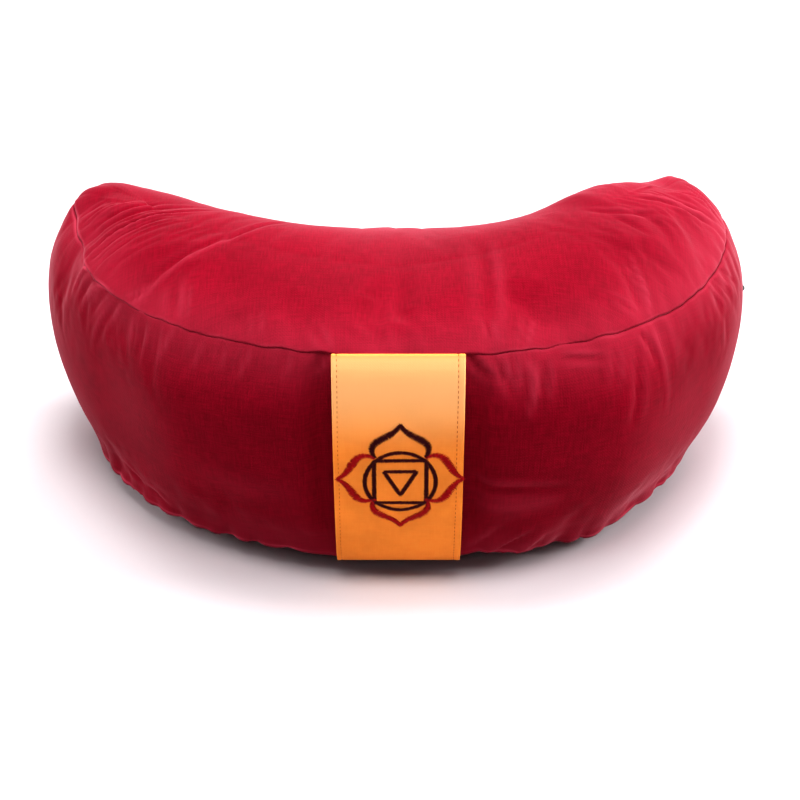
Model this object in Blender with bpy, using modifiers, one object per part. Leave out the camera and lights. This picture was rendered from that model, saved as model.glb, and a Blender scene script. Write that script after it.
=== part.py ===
"""Crescent meditation cushion with a carry strap and a zip slider.

Metres, +Z up.  The horns point to +Y, the strap is on the round front at -Y, and the
cushion rests on z = 0.  The cushion is one filled solid, a loft of closed rings that are
worked out from a middle line seen from above and a short table of sections along it.
"""

import math

import bmesh
import bpy
import numpy as np
from mathutils import Matrix, Vector

# Plan of the crescent: part of an ellipse for its middle line, from horn tip to horn tip.
SPINE_HALF_LENGTH = 0.212
SPINE_DEPTH = 0.268
SPINE_REACH = math.radians(60.5)
SPINE_CENTRE = (0.0002, 0.2325)
TIP_ROUNDING = 2.7
CORE_SHORTENING = 0.27

# One row for each section, from the left horn tip (-1) to the right one (+1).
SECTION_COLUMNS = ("place", "half_width", "seam_height", "crown", "bulge", "foot_inset")
SECTIONS = (
    (-1.00, 0.063, 0.152, 0.013, 0.027, 0.009),
    (-0.60, 0.072, 0.145, 0.023, 0.003, 0.006),
    (0.00, 0.082, 0.150, 0.013, 0.004, 0.013),
    (0.60, 0.075, 0.142, 0.034, 0.011, 0.009),
    (1.00, 0.060, 0.146, 0.032, 0.020, 0.017),
)

# Profile of the panels and the band between the two seams.
CROWN_POWER = 2.4
BULGE_POWER = 2.2
SEAM_DRAW_IN = 0.0025
FOOT_HEIGHT = 0.010
FLAT_PART_OF_BASE = 0.86

# Puckers along both seams: uneven, so two waves of unlike pitch are added up.
PUCKER_DEPTH = 0.0009
PUCKER_PITCHES = (0.031, 0.047)
PUCKER_REACH = 0.30

# Main folds of the cover, each a soft trough along a straight line in space.
FOLD_COLUMNS = ("from_xyz", "to_xyz", "half_width", "depth")
FOLDS = (
    ((-0.180, 0.004, 0.151), (-0.121, 0.023, 0.167), 0.008, 0.0024),
    ((-0.174, -0.006, 0.151), (-0.120, 0.004, 0.168), 0.008, 0.0018),
    ((-0.130, -0.039, 0.159), (-0.080, 0.014, 0.165), 0.009, 0.0022),
    ((-0.140, -0.059, 0.142), (-0.132, -0.066, 0.110), 0.009, 0.0020),
    ((0.112, 0.030, 0.170), (0.188, 0.023, 0.152), 0.009, 0.0024),
    ((0.130, -0.037, 0.164), (0.139, -0.064, 0.142), 0.009, 0.0022),
    ((0.138, -0.065, 0.141), (0.142, -0.069, 0.105), 0.009, 0.0026),
    ((0.055, -0.111, 0.142), (0.078, -0.106, 0.115), 0.009, 0.0020),
    ((0.053, -0.101, 0.014), (0.066, -0.100, 0.042), 0.009, 0.0024),
)

# Mesh steps: around the outline, and from the middle line over both panels and the band.
SIDE_STEPS = 80
TIP_CROWDING = 0.9
TOP_STEPS = (0.14, 0.30, 0.45, 0.58, 0.70, 0.81, 0.91, 0.97)
BAND_STEPS = (0.0, 0.05, 0.14, 0.25, 0.37, 0.50, 0.63, 0.75, 0.86, 0.95, 1.0)
BASE_STEPS = (0.97, 0.93, FLAT_PART_OF_BASE, 0.60, 0.30)

# Carry strap: a hemmed cloth strip from the top seam to the bottom seam.
STRAP_WIDTH = 0.071
STRAP_THICKNESS = 0.0018
STRAP_STAND_OFF = 0.0075
STRAP_SEAT_REACH = 0.0015
STRAP_TOP_DROP = 0.001
STRAP_FOOT_RISE = 0.002
STRAP_CELLS_UP = 28
STRAP_CELLS_ACROSS = 10

# Zip slider, on the band of the right horn: where it sits, its body and its bridge.
SLIDER_DEPTH_PLACE = 0.077
SLIDER_HEIGHT = 0.094
SLIDER_LENGTH = 0.0110
SLIDER_WIDTH = 0.0085
SLIDER_THICKNESS = 0.0024
SLIDER_CORNER = 0.0025
BRIDGE_SPAN = 0.0092
BRIDGE_RISE = 0.0030
BRIDGE_RADIUS = 0.0008

# Meshes that touch keep this gap, and rays start this far out.
CONTACT_GAP = 0.0003
WELD_DISTANCE = 0.00002
RAY_START = 1.0

RED_COTTON = (0.50, 0.012, 0.028)
ORANGE_COTTON = (1.00, 0.30, 0.06)
BLACK_PAINT = (0.012, 0.012, 0.013)


def section_value(place, column):
    """A section's size at a place from -1 to 1, smoothly between the table's rows."""
    index = SECTION_COLUMNS.index(column)
    places = [row[0] for row in SECTIONS]
    values = [row[index] for row in SECTIONS]
    slopes = np.gradient(values, places)
    step = int(np.clip(np.searchsorted(places, place) - 1, 0, len(places) - 2))
    span = places[step + 1] - places[step]
    t = (place - places[step]) / span
    start = values[step] * (1 + 2 * t) * (1 - t) ** 2 + slopes[step] * span * t * (1 - t) ** 2
    end = values[step + 1] * t * t * (3 - 2 * t) + slopes[step + 1] * span * t * t * (t - 1)
    return start + end


def spine_point(place):
    """The point of the middle line at a place from -1 to 1."""
    angle = SPINE_REACH * place
    reach = (SPINE_HALF_LENGTH * math.sin(angle), -SPINE_DEPTH * math.cos(angle))
    return np.add(SPINE_CENTRE, reach)


def spine_outward(place):
    """The direction square to the middle line at a place, towards the round front."""
    angle = SPINE_REACH * place
    direction = np.array((SPINE_DEPTH * math.sin(angle), -SPINE_HALF_LENGTH * math.cos(angle)))
    return direction / np.linalg.norm(direction)


def half_width(place):
    """Half the seam-to-seam width of the crescent, rounded off at the horn tips."""
    rounding = max(0.0, 1.0 - abs(place) ** TIP_ROUNDING)
    return section_value(place, "half_width") * math.sqrt(rounding)


class Station:
    """One vertical section of the cushion, at one point of the outline's seam."""

    def __init__(self, place, side):
        self.seam = spine_point(place) + spine_outward(place) * half_width(place) * side
        self.core = spine_point(place * (1.0 - CORE_SHORTENING * place * place))
        self.seam_height = section_value(place, "seam_height")
        self.crown = section_value(place, "crown")
        self.bulge = section_value(place, "bulge")
        self.foot_inset = section_value(place, "foot_inset")
        self.outward = None
        self.travel = 0.0

    def pucker(self, fall):
        """How deep the band is puckered, most beside the seams at fall 0 and 1."""
        seam_distance = min(fall, 1.0 - fall) / PUCKER_REACH
        fade = max(0.0, 1.0 - seam_distance)
        waves = sum(math.sin(2.0 * math.pi * self.travel / pitch) for pitch in PUCKER_PITCHES)
        return PUCKER_DEPTH * waves * fade

    def band_offset(self, fall):
        """How far the band stands out from the top seam at a fall from 0 to 1."""
        bulge = self.bulge * (1.0 - abs(2.0 * fall - 1.0) ** BULGE_POWER)
        draw_in = SEAM_DRAW_IN if fall in (0.0, 1.0) else self.pucker(fall)
        return bulge - self.foot_inset * fall - draw_in

    def top_point(self, ratio):
        """A point of the top panel; ratio runs from 0 at the middle line to 1 at the seam."""
        plan = self.core + (self.seam - self.core) * ratio
        return Vector((*plan, self.seam_height + self.crown * (1.0 - ratio ** CROWN_POWER)))

    def band_point(self, fall):
        """A point of the band; fall runs from 0 at the top seam to 1 at the bottom seam."""
        plan = self.seam + self.outward * self.band_offset(fall)
        return Vector((*plan, self.seam_height + (FOOT_HEIGHT - self.seam_height) * fall))

    def base_point(self, ratio):
        """A point of the bottom panel, which is flat but for its rim."""
        rim = self.seam + self.outward * self.band_offset(1.0)
        plan = self.core + (rim - self.core) * ratio
        lift = max(0.0, (ratio - FLAT_PART_OF_BASE) / (1.0 - FLAT_PART_OF_BASE))
        return Vector((*plan, FOOT_HEIGHT * lift ** 1.5))

    def folded(self, point, inward):
        """The point pushed in by every fold that passes near it."""
        push = 0.0
        for start, end, width, depth in FOLDS:
            start, end = Vector(start), Vector(end)
            line = end - start
            along = max(0.0, min(1.0, (point - start).dot(line) / line.length_squared))
            distance = (point - start - line * along).length
            push += depth * math.exp(-((distance / width) ** 2))
        return point + inward * push


def cushion_stations():
    """The cushion's sections once around the crescent, counter-clockwise from above."""
    even = np.linspace(-1.0, 1.0, SIDE_STEPS + 1)
    front = TIP_CROWDING * np.sin(even * math.pi / 2) + (1.0 - TIP_CROWDING) * even
    stations = [Station(place, 1.0) for place in front]
    stations += [Station(place, -1.0) for place in front[-2:0:-1]]
    travel = 0.0
    for index, station in enumerate(stations):
        before = stations[index - 1].seam
        after = stations[(index + 1) % len(stations)].seam
        along = (after - before) / np.linalg.norm(after - before)
        station.outward = np.array((along[1], -along[0]))
        travel += np.linalg.norm(station.seam - before)
        station.travel = travel
    return stations


def cushion_rings():
    """The closed rings of points, from the top panel's middle line to the base's."""
    stations = cushion_stations()
    down = Vector((0.0, 0.0, -1.0))
    rings = [
        [station.folded(station.top_point(ratio), down) for station in stations]
        for ratio in (0.0, *TOP_STEPS)
    ]
    rings += [
        [station.folded(station.band_point(fall), Vector((*-station.outward, 0.0))) for station in stations]
        for fall in BAND_STEPS
    ]
    rings += [
        [station.base_point(ratio) for station in stations]
        for ratio in (*BASE_STEPS, 0.0)
    ]
    return rings


def new_material(name, colour, roughness, metallic=0.0):
    """A Principled material in one plain colour."""
    material = bpy.data.materials.new(name)
    material.use_nodes = True
    shader = material.node_tree.nodes["Principled BSDF"]
    shader.inputs["Base Color"].default_value = (*colour, 1.0)
    shader.inputs["Roughness"].default_value = roughness
    shader.inputs["Metallic"].default_value = metallic
    return material


def new_object(name, builder, material, collection):
    """An object with the mesh of a bmesh, in its collection and shaded smooth."""
    bmesh.ops.recalc_face_normals(builder, faces=builder.faces)
    mesh = bpy.data.meshes.new(name)
    builder.to_mesh(mesh)
    builder.free()
    mesh.shade_smooth()
    mesh.materials.append(material)
    created = bpy.data.objects.new(name, mesh)
    collection.objects.link(created)
    return created


def build_cushion(material, collection):
    """The filled cover: both crescent panels and the band, as one closed loft."""
    builder = bmesh.new()
    rings = [[builder.verts.new(point) for point in ring] for ring in cushion_rings()]
    count = len(rings[0])
    for upper, lower in zip(rings, rings[1:]):
        for index in range(count):
            after = (index + 1) % count
            builder.faces.new((upper[index], upper[after], lower[after], lower[index]))
    bmesh.ops.remove_doubles(builder, verts=builder.verts, dist=WELD_DISTANCE)
    return new_object("cushion", builder, material, collection)


def build_strap(material, collection, cushion):
    """The carry strap: a sheet that stands off the band between its two seams."""

    def band_front(across, height):
        """The band's proudest point in front of a spot of the strap."""
        reach = STRAP_SEAT_REACH
        starts = [Vector((across, -RAY_START, height + step)) for step in (-reach, 0.0, reach)]
        hits = [cushion.ray_cast(start, Vector((0.0, 1.0, 0.0))) for start in starts]
        return min(point.y for found, point, _, _ in hits if found)

    top = section_value(0.0, "seam_height") - STRAP_TOP_DROP
    foot = FOOT_HEIGHT + STRAP_FOOT_RISE
    builder = bmesh.new()
    bmesh.ops.create_grid(
        builder, x_segments=STRAP_CELLS_ACROSS, y_segments=STRAP_CELLS_UP, size=0.5
    )
    for vertex in builder.verts:
        across = SPINE_CENTRE[0] + vertex.co.x * STRAP_WIDTH
        fall = min(1.0, max(0.0, 0.5 - vertex.co.y))
        height = top + (foot - top) * fall
        slack = math.sqrt(math.sin(math.pi * fall))
        follow = band_front(across, height) * (1.0 - slack) + band_front(SPINE_CENTRE[0], height) * slack
        vertex.co = (across, follow - CONTACT_GAP - STRAP_STAND_OFF * slack, height)
    strap = new_object("carry_strap", builder, material, collection)
    thickness = strap.modifiers.new("cloth thickness", "SOLIDIFY")
    thickness.thickness = STRAP_THICKNESS
    thickness.offset = 1.0
    return strap


def slider_bridge(collection):
    """The slider's arched bridge, as a closed mesh object for the union with the body."""
    arch = bpy.data.curves.new("bridge arch", "CURVE")
    arch.dimensions = "3D"
    arch.bevel_depth = BRIDGE_RADIUS
    arch.bevel_resolution = 2
    arch.use_fill_caps = True
    spline = arch.splines.new("POLY")
    turns = np.linspace(math.pi, 0.0, 13)
    spline.points.add(len(turns) - 1)
    foot = SLIDER_THICKNESS * 0.5
    for point, turn in zip(spline.points, turns):
        rise = foot + BRIDGE_RISE * math.sin(turn)
        point.co = (BRIDGE_SPAN * 0.5 * math.cos(turn), 0.0, rise, 1.0)
    path = bpy.data.objects.new("bridge path", arch)
    collection.objects.link(path)
    mesh = bpy.data.meshes.new_from_object(path.evaluated_get(bpy.context.evaluated_depsgraph_get()))
    bpy.data.objects.remove(path, do_unlink=True)
    builder = bmesh.new()
    builder.from_mesh(mesh)
    bmesh.ops.remove_doubles(builder, verts=builder.verts, dist=WELD_DISTANCE)
    builder.to_mesh(mesh)
    builder.free()
    bridge = bpy.data.objects.new("bridge", mesh)
    collection.objects.link(bridge)
    return bridge


def build_slider(material, collection, cutters, cushion):
    """The zip slider: a flat body and its arched bridge, cast as one piece."""
    builder = bmesh.new()
    bmesh.ops.create_cube(builder, size=1.0)
    size = (SLIDER_LENGTH, SLIDER_WIDTH, SLIDER_THICKNESS)
    bmesh.ops.scale(builder, verts=builder.verts, vec=size)
    upright = [edge for edge in builder.edges if abs(edge.verts[0].co.z - edge.verts[1].co.z) > 0.001]
    bmesh.ops.bevel(builder, geom=upright, offset=SLIDER_CORNER, segments=4, affect="EDGES")
    slider = new_object("zip_slider", builder, material, collection)
    bridge = slider_bridge(cutters)
    bridge.hide_render = True
    bridge.display_type = "WIRE"
    union = slider.modifiers.new("bridge", "BOOLEAN")
    union.operation = "UNION"
    union.object = bridge

    start = Vector((RAY_START, SLIDER_DEPTH_PLACE, SLIDER_HEIGHT))
    _, seat, normal, _ = cushion.ray_cast(start, Vector((-1.0, 0.0, 0.0)))
    along = Vector((0.0, 0.0, 1.0)).cross(normal).normalized()
    across = normal.cross(along)
    turn = Matrix((along, across, normal)).transposed().to_4x4()
    middle = seat + normal * (CONTACT_GAP + SLIDER_THICKNESS * 0.5)
    slider.matrix_world = Matrix.Translation(middle) @ turn
    bridge.parent = slider
    return slider


def centre_over_origin(parts, collection):
    """Hang the parts on an empty that sets the middle of their box over the origin."""
    bpy.context.view_layer.update()
    corners = [part.matrix_world @ Vector(corner) for part in parts for corner in part.bound_box]
    low = [min(corner[axis] for corner in corners) for axis in range(3)]
    high = [max(corner[axis] for corner in corners) for axis in range(3)]
    empty = bpy.data.objects.new("cushion_frame", None)
    collection.objects.link(empty)
    for part in parts:
        part.parent = empty
    empty.location = (-(low[0] + high[0]) / 2, -(low[1] + high[1]) / 2, -low[2])


def main():
    for item in list(bpy.data.objects):
        bpy.data.objects.remove(item, do_unlink=True)
    collection = bpy.data.collections.new("crescent meditation cushion")
    cutters = bpy.data.collections.new("cutters")
    bpy.context.scene.collection.children.link(collection)
    bpy.context.scene.collection.children.link(cutters)
    red = new_material("red cotton", RED_COTTON, 0.85)
    orange = new_material("orange cotton", ORANGE_COTTON, 0.80)
    black = new_material("black painted metal", BLACK_PAINT, 0.45)
    cushion = build_cushion(red, collection)
    bpy.context.view_layer.update()
    strap = build_strap(orange, collection, cushion)
    slider = build_slider(black, collection, cutters, cushion)
    centre_over_origin((cushion, strap, slider), collection)


main()
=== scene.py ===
"""Looks of a crescent meditation cushion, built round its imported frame.

The cover is one filled piece of woven red cotton: a crescent top panel, a side band and a
base panel, joined by two plain seams.  On the round front hangs an orange carry strap with
an embroidered lotus, and a small black zip slider sits on the band of the right horn.
Metres, +Z up.  The strap faces -Y, and the horns point to +Y.
"""

import logging
import math
from dataclasses import dataclass, field
from enum import Enum

import bmesh
import bpy
import numpy as np
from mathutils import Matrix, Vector
from mathutils.bvhtree import BVHTree


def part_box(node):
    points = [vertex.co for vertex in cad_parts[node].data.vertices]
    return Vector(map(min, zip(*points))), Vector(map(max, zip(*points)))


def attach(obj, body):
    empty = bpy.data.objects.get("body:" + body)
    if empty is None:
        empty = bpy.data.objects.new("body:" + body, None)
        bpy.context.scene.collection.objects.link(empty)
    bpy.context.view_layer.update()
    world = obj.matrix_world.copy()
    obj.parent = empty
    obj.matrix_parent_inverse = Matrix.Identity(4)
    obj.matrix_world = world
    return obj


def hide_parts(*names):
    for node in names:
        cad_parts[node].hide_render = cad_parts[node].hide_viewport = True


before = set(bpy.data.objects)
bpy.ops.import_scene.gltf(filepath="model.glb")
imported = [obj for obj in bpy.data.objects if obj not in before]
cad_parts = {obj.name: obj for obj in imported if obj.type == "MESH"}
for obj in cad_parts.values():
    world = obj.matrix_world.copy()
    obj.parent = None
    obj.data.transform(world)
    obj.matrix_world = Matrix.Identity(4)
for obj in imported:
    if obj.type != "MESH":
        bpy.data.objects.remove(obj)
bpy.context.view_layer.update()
LOG = logging.getLogger("cushion")
MM = 0.001


def linear(hex_colour: str) -> tuple[float, float, float, float]:
    """Turn an sRGB hex colour into linear RGBA.

    Args:
        hex_colour: six hex digits, such as "8C0A1E".

    Returns:
        The linear colour, with alpha 1.
    """
    parts = [int(hex_colour[start:start + 2], 16) / 255 for start in (0, 2, 4)]
    turned = [part / 12.92 if part <= 0.04045 else ((part + 0.055) / 1.055) ** 2.4 for part in parts]
    return (*turned, 1.0)


def add_node(
    tree: bpy.types.NodeTree, kind: str, settings: dict | None = None, inputs: dict | None = None
) -> bpy.types.Node:
    """Add one node to a tree, with its settings, values and links.

    Args:
        tree: the shader or geometry tree.
        kind: the node's type name.
        settings: the node's attributes and their values.
        inputs: for each input's name or number, a value or the socket to link to it.

    Returns:
        The new node.
    """
    node = tree.nodes.new(kind)
    for name, value in (settings or {}).items():
        setattr(node, name, value)
    for name, value in (inputs or {}).items():
        if isinstance(value, bpy.types.NodeSocket):
            tree.links.new(value, node.inputs[name])
        else:
            node.inputs[name].default_value = value
    return node


def new_material(name: str) -> tuple[bpy.types.Material, bpy.types.NodeTree, bpy.types.Node]:
    """Start a node material.

    Args:
        name: the real material's name.

    Returns:
        The material, its tree and its Principled BSDF node.
    """
    material = bpy.data.materials.new(name)
    material.use_nodes = True
    tree = material.node_tree
    return material, tree, tree.nodes["Principled BSDF"]


def new_piece(name: str, mesh: bpy.types.Mesh, material: bpy.types.Material) -> bpy.types.Object:
    """Put a finished mesh into the scene as a piece of the object.

    Args:
        name: the piece's name.
        mesh: its mesh, in the frame's own place.
        material: its only material.

    Returns:
        The piece, riding on the frame's only body.
    """
    piece = bpy.data.objects.new(name, mesh)
    bpy.context.scene.collection.objects.link(piece)
    mesh.materials.clear()
    mesh.materials.append(material)
    mesh.shade_smooth()
    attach(piece, "root")
    LOG.info("%s: %d vertices, %d faces", name, len(mesh.vertices), len(mesh.polygons))
    return piece


# ---------------------------------------------------------------------------- finishes


@dataclass(frozen=True)
class WovenCotton:
    """Plain-weave cotton, dyed in the piece and pressed, with a soft nap.

    Its threads are finer than the picture can show, so they are drawn thread_mm apart, about
    twice as coarse as real ones.  The nap gives a pale sheen where the cloth turns away.
    """

    name: str
    thread: str
    hollow: str
    # Colour of the paler places: painted highlight, partly rubbed nap.
    worn_and_lit: str
    # Colour of the painted shade in the seams and under the base.
    shade_colour: str
    thread_mm: float
    roughness: float
    sheen: float
    sheen_tint: str
    weave_depth_mm: float
    slub_length_mm: float = 12.0
    slub_width_mm: float = 0.8
    mottle_mm: float = 38.0

    def material(self) -> bpy.types.Material:
        """Build the cloth's material on the piece's "weave" UV map, in metres.

        Returns:
            The material.
        """
        material, tree, shader = new_material(self.name)
        place = add_node(tree, "ShaderNodeUVMap", {"uv_map": "weave"})
        axes = add_node(tree, "ShaderNodeSeparateXYZ", inputs={0: place.outputs[0]})
        turns = math.pi / (self.thread_mm * MM)
        waves = []
        for axis in (0, 1):
            phase = add_node(
                tree, "ShaderNodeMath", {"operation": "MULTIPLY"}, {0: axes.outputs[axis], 1: turns}
            )
            waves.append(add_node(tree, "ShaderNodeMath", {"operation": "SINE"}, {0: phase.outputs[0]}))
        over = add_node(
            tree,
            "ShaderNodeMath",
            {"operation": "MULTIPLY"},
            {0: waves[0].outputs[0], 1: waves[1].outputs[0]},
        )
        slubs = [self._slub(tree, place, along) for along in (0, 1)]
        slub = add_node(tree, "ShaderNodeMath", {"operation": "ADD"}, {0: slubs[0], 1: slubs[1]})
        spot = add_node(tree, "ShaderNodeTexCoord")
        mottle = add_node(
            tree,
            "ShaderNodeTexNoise",
            inputs={
                "Vector": spot.outputs["Object"],
                "Scale": 1.0 / (self.mottle_mm * MM),
                "Detail": 4.0,
                "Roughness": 0.55,
            },
        )
        tone = add_node(
            tree,
            "ShaderNodeMapRange",
            inputs={0: slub.outputs[0], 1: 0.80, 2: 1.20, 3: 0.0, 4: 1.0},
        )
        shade = add_node(
            tree,
            "ShaderNodeMix",
            {"data_type": "RGBA"},
            {0: tone.outputs[0], 6: linear(self.hollow), 7: linear(self.thread)},
        )
        patch = add_node(
            tree,
            "ShaderNodeMapRange",
            inputs={0: mottle.outputs[0], 1: 0.3, 2: 0.7, 3: 0.90, 4: 1.10},
        )
        toned = add_node(
            tree,
            "ShaderNodeHueSaturation",
            inputs={"Value": patch.outputs[0], "Color": shade.outputs[2]},
        )
        # Painted light, with some rubbing: this attribute pales the cloth where light falls on it.
        wear_and_painted_light = add_node(tree, "ShaderNodeAttribute", {"attribute_name": "wear_and_painted_light"})
        colour = add_node(
            tree,
            "ShaderNodeMix",
            {"data_type": "RGBA"},
            {0: wear_and_painted_light.outputs["Fac"], 6: toned.outputs[0], 7: linear(self.worn_and_lit)},
        )
        # Painted shade: this attribute darkens the cloth down in the seams and on the base's underside.
        painted_shade = add_node(tree, "ShaderNodeAttribute", {"attribute_name": "painted_shade"})
        shaded = add_node(
            tree,
            "ShaderNodeMix",
            {"data_type": "RGBA"},
            {0: painted_shade.outputs["Fac"], 6: colour.outputs[2], 7: linear(self.shade_colour)},
        )
        height = add_node(
            tree,
            "ShaderNodeMath",
            {"operation": "MULTIPLY_ADD"},
            {0: over.outputs[0], 1: 0.30, 2: slub.outputs[0]},
        )
        bump = add_node(
            tree,
            "ShaderNodeBump",
            inputs={
                "Strength": 0.42,
                "Distance": self.weave_depth_mm * MM,
                "Height": height.outputs[0],
            },
        )
        tree.links.new(shaded.outputs[2], shader.inputs["Base Color"])
        tree.links.new(bump.outputs[0], shader.inputs["Normal"])
        shader.inputs["Roughness"].default_value = self.roughness
        shader.inputs["Sheen Weight"].default_value = self.sheen
        shader.inputs["Sheen Roughness"].default_value = 0.32
        shader.inputs["Sheen Tint"].default_value = linear(self.sheen_tint)
        shader.inputs["Specular IOR Level"].default_value = 0.06
        return material

    def _slub(self, tree: bpy.types.NodeTree, place: bpy.types.Node, along: int) -> bpy.types.NodeSocket:
        """Add the uneven threads that run along one direction of the weave.

        Args:
            tree: the material's tree.
            place: the UV map node.
            along: 0 for threads along U, 1 for threads along V.

        Returns:
            The noise's value, from 0 to 1.
        """
        scale = [1.0 / (self.slub_width_mm * MM), 1.0 / (self.slub_width_mm * MM), 1.0]
        scale[along] = 1.0 / (self.slub_length_mm * MM)
        stretch = add_node(tree, "ShaderNodeMapping", inputs={0: place.outputs[0], 3: scale})
        noise = add_node(
            tree,
            "ShaderNodeTexNoise",
            inputs={"Vector": stretch.outputs[0], "Scale": 1.0, "Detail": 2.0, "Roughness": 0.6},
        )
        return noise.outputs[0]


@dataclass(frozen=True)
class Thread:
    """Sewing or embroidery thread: twisted polyester or rayon, with a slight gloss."""

    name: str
    colour: str
    roughness: float

    def material(self) -> bpy.types.Material:
        """Build the thread's material.

        Returns:
            The material.
        """
        material, tree, shader = new_material(self.name)
        spot = add_node(tree, "ShaderNodeTexCoord")
        noise = add_node(
            tree, "ShaderNodeTexNoise", inputs={"Vector": spot.outputs["Object"], "Scale": 900.0}
        )
        shade = add_node(
            tree, "ShaderNodeMapRange", inputs={0: noise.outputs[0], 1: 0.3, 2: 0.7, 3: 0.75, 4: 1.25}
        )
        toned = add_node(
            tree,
            "ShaderNodeHueSaturation",
            inputs={"Value": shade.outputs[0], "Color": linear(self.colour)},
        )
        tree.links.new(toned.outputs[0], shader.inputs["Base Color"])
        shader.inputs["Roughness"].default_value = self.roughness
        shader.inputs["Specular IOR Level"].default_value = 0.2
        return material


@dataclass(frozen=True)
class PaintedZinc:
    """Die-cast zinc with black paint: satin, and rubbed a little paler in small patches."""

    name: str
    paint: str
    rubbed: str
    roughness: float

    def material(self) -> bpy.types.Material:
        """Build the paint's material.

        Returns:
            The material.
        """
        material, tree, shader = new_material(self.name)
        spot = add_node(tree, "ShaderNodeTexCoord")
        noise = add_node(
            tree,
            "ShaderNodeTexNoise",
            inputs={"Vector": spot.outputs["Object"], "Scale": 700.0, "Detail": 3.0},
        )
        rub = add_node(
            tree, "ShaderNodeMapRange", inputs={0: noise.outputs[0], 1: 0.58, 2: 0.72, 3: 0.0, 4: 0.5}
        )
        colour = add_node(
            tree,
            "ShaderNodeMix",
            {"data_type": "RGBA"},
            {0: rub.outputs[0], 6: linear(self.paint), 7: linear(self.rubbed)},
        )
        bump = add_node(
            tree,
            "ShaderNodeBump",
            inputs={"Strength": 0.15, "Distance": 0.1 * MM, "Height": noise.outputs[0]},
        )
        tree.links.new(colour.outputs[2], shader.inputs["Base Color"])
        tree.links.new(bump.outputs[0], shader.inputs["Normal"])
        shader.inputs["Roughness"].default_value = self.roughness
        return material


RED_COTTON = WovenCotton(
    name="red woven cotton",
    thread="8A0627",
    hollow="79051F",
    # Pale colour of the painted highlight, partly rubbed nap.
    worn_and_lit="B8465A",
    # Dark colour of the painted shade.
    shade_colour="260009",
    thread_mm=0.9,
    roughness=0.80,
    sheen=0.34,
    sheen_tint="FFBCC6",
    weave_depth_mm=0.18,
)
ORANGE_COTTON = WovenCotton(
    name="orange woven cotton",
    thread="FA9F4B",
    hollow="F89A47",
    # Pale colour of the painted light on the strap's upper part.
    worn_and_lit="FFC286",
    shade_colour="8A3C12",
    thread_mm=0.7,
    roughness=0.78,
    sheen=0.15,
    sheen_tint="FFE8C8",
    weave_depth_mm=0.12,
    mottle_mm=30.0,
)
SEAM_THREAD = Thread(name="dark red polyester thread", colour="5A0514", roughness=0.5)
STRAP_THREAD = Thread(name="rust polyester thread", colour="C0561C", roughness=0.5)
MAROON_RAYON = Thread(name="maroon embroidery rayon", colour="48060F", roughness=0.5)
RED_RAYON = Thread(name="red embroidery rayon", colour="AE1018", roughness=0.5)
BLACK_ZINC = PaintedZinc(name="black painted zinc", paint="16161A", rubbed="3A3A3E", roughness=0.38)


# ------------------------------------------------------------------------ cover's shape


class Panel(Enum):
    """The three cut pieces of the cover."""

    TOP = 0
    BAND = 1
    BASE = 2


@dataclass(frozen=True)
class Section:
    """The cushion's upright section at a place from the left horn tip, -1, to the right, 1."""

    place: float
    half_width: float
    seam_height: float
    crown: float
    bulge: float
    foot_inset: float


@dataclass(frozen=True)
class Lump:
    """A soft swelling of the filling: its middle in mm, its radius and how far it stands out."""

    x: float
    y: float
    z: float
    radius: float
    rise: float


@dataclass(frozen=True)
class Nudge:
    """A soft sideways pull of the cover: its middle, its radius and its move, in mm."""

    place: tuple[float, float, float]
    radius: float
    move: tuple[float, float, float]


@dataclass(frozen=True)
class Crease:
    """A crease, in mm: three points of its curve, its half width and its depth.

    On the top panel the points are (x, y), as seen from above, and on the band (x, z), as
    seen from the front.  A negative depth makes a ridge.
    """

    start: tuple[float, float]
    middle: tuple[float, float]
    end: tuple[float, float]
    half_width: float
    depth: float


SECTIONS = (
    Section(place=-1.00, half_width=0.063, seam_height=0.152, crown=0.013, bulge=0.029, foot_inset=0.013),
    Section(place=-0.60, half_width=0.072, seam_height=0.145, crown=0.023, bulge=0.003, foot_inset=0.0065),
    Section(place=0.00, half_width=0.082, seam_height=0.150, crown=0.013, bulge=0.004, foot_inset=0.013),
    Section(place=0.60, half_width=0.075, seam_height=0.142, crown=0.034, bulge=0.0125, foot_inset=0.013),
    Section(place=1.00, half_width=0.060, seam_height=0.146, crown=0.032, bulge=0.0225, foot_inset=0.019),
)

LUMPS = (
    Lump(x=120, y=39, z=171, radius=28, rise=5.0),
    Lump(x=163, y=57, z=176, radius=20, rise=-4.6),
    Lump(x=184, y=84, z=160, radius=24, rise=0.9),
    Lump(x=70, y=30, z=166, radius=28, rise=-1.8),
    Lump(x=-46, y=6, z=163, radius=34, rise=2.0),
    Lump(x=-208, y=60, z=138, radius=26, rise=1.6),
    Lump(x=-192, y=80, z=153, radius=20, rise=2.6),
    Lump(x=-216, y=20, z=88, radius=44, rise=-2.0),
    Lump(x=-148, y=70, z=166, radius=24, rise=0.4),
    Lump(x=104, y=-84, z=16, radius=26, rise=1.5),
    Lump(x=78, y=-96, z=26, radius=14, rise=2.5),
)

NUDGES = (
    Nudge(place=(-198, 56, 151), radius=17, move=(5.5, 0.0, 0.0)),
    Nudge(place=(-191, 26, 150), radius=18, move=(6.0, 0.0, 0.0)),
    Nudge(place=(-58, -96, 11), radius=32, move=(0.0, 0.0, 1.0)),
    Nudge(place=(44, -103, 11), radius=13, move=(0.0, 0.0, 2.5)),
    Nudge(place=(76, -96, 11), radius=24, move=(0.0, -0.5, -1.5)),
    Nudge(place=(118, -74, 12), radius=22, move=(0.0, -0.8, -4.2)),
)

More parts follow.
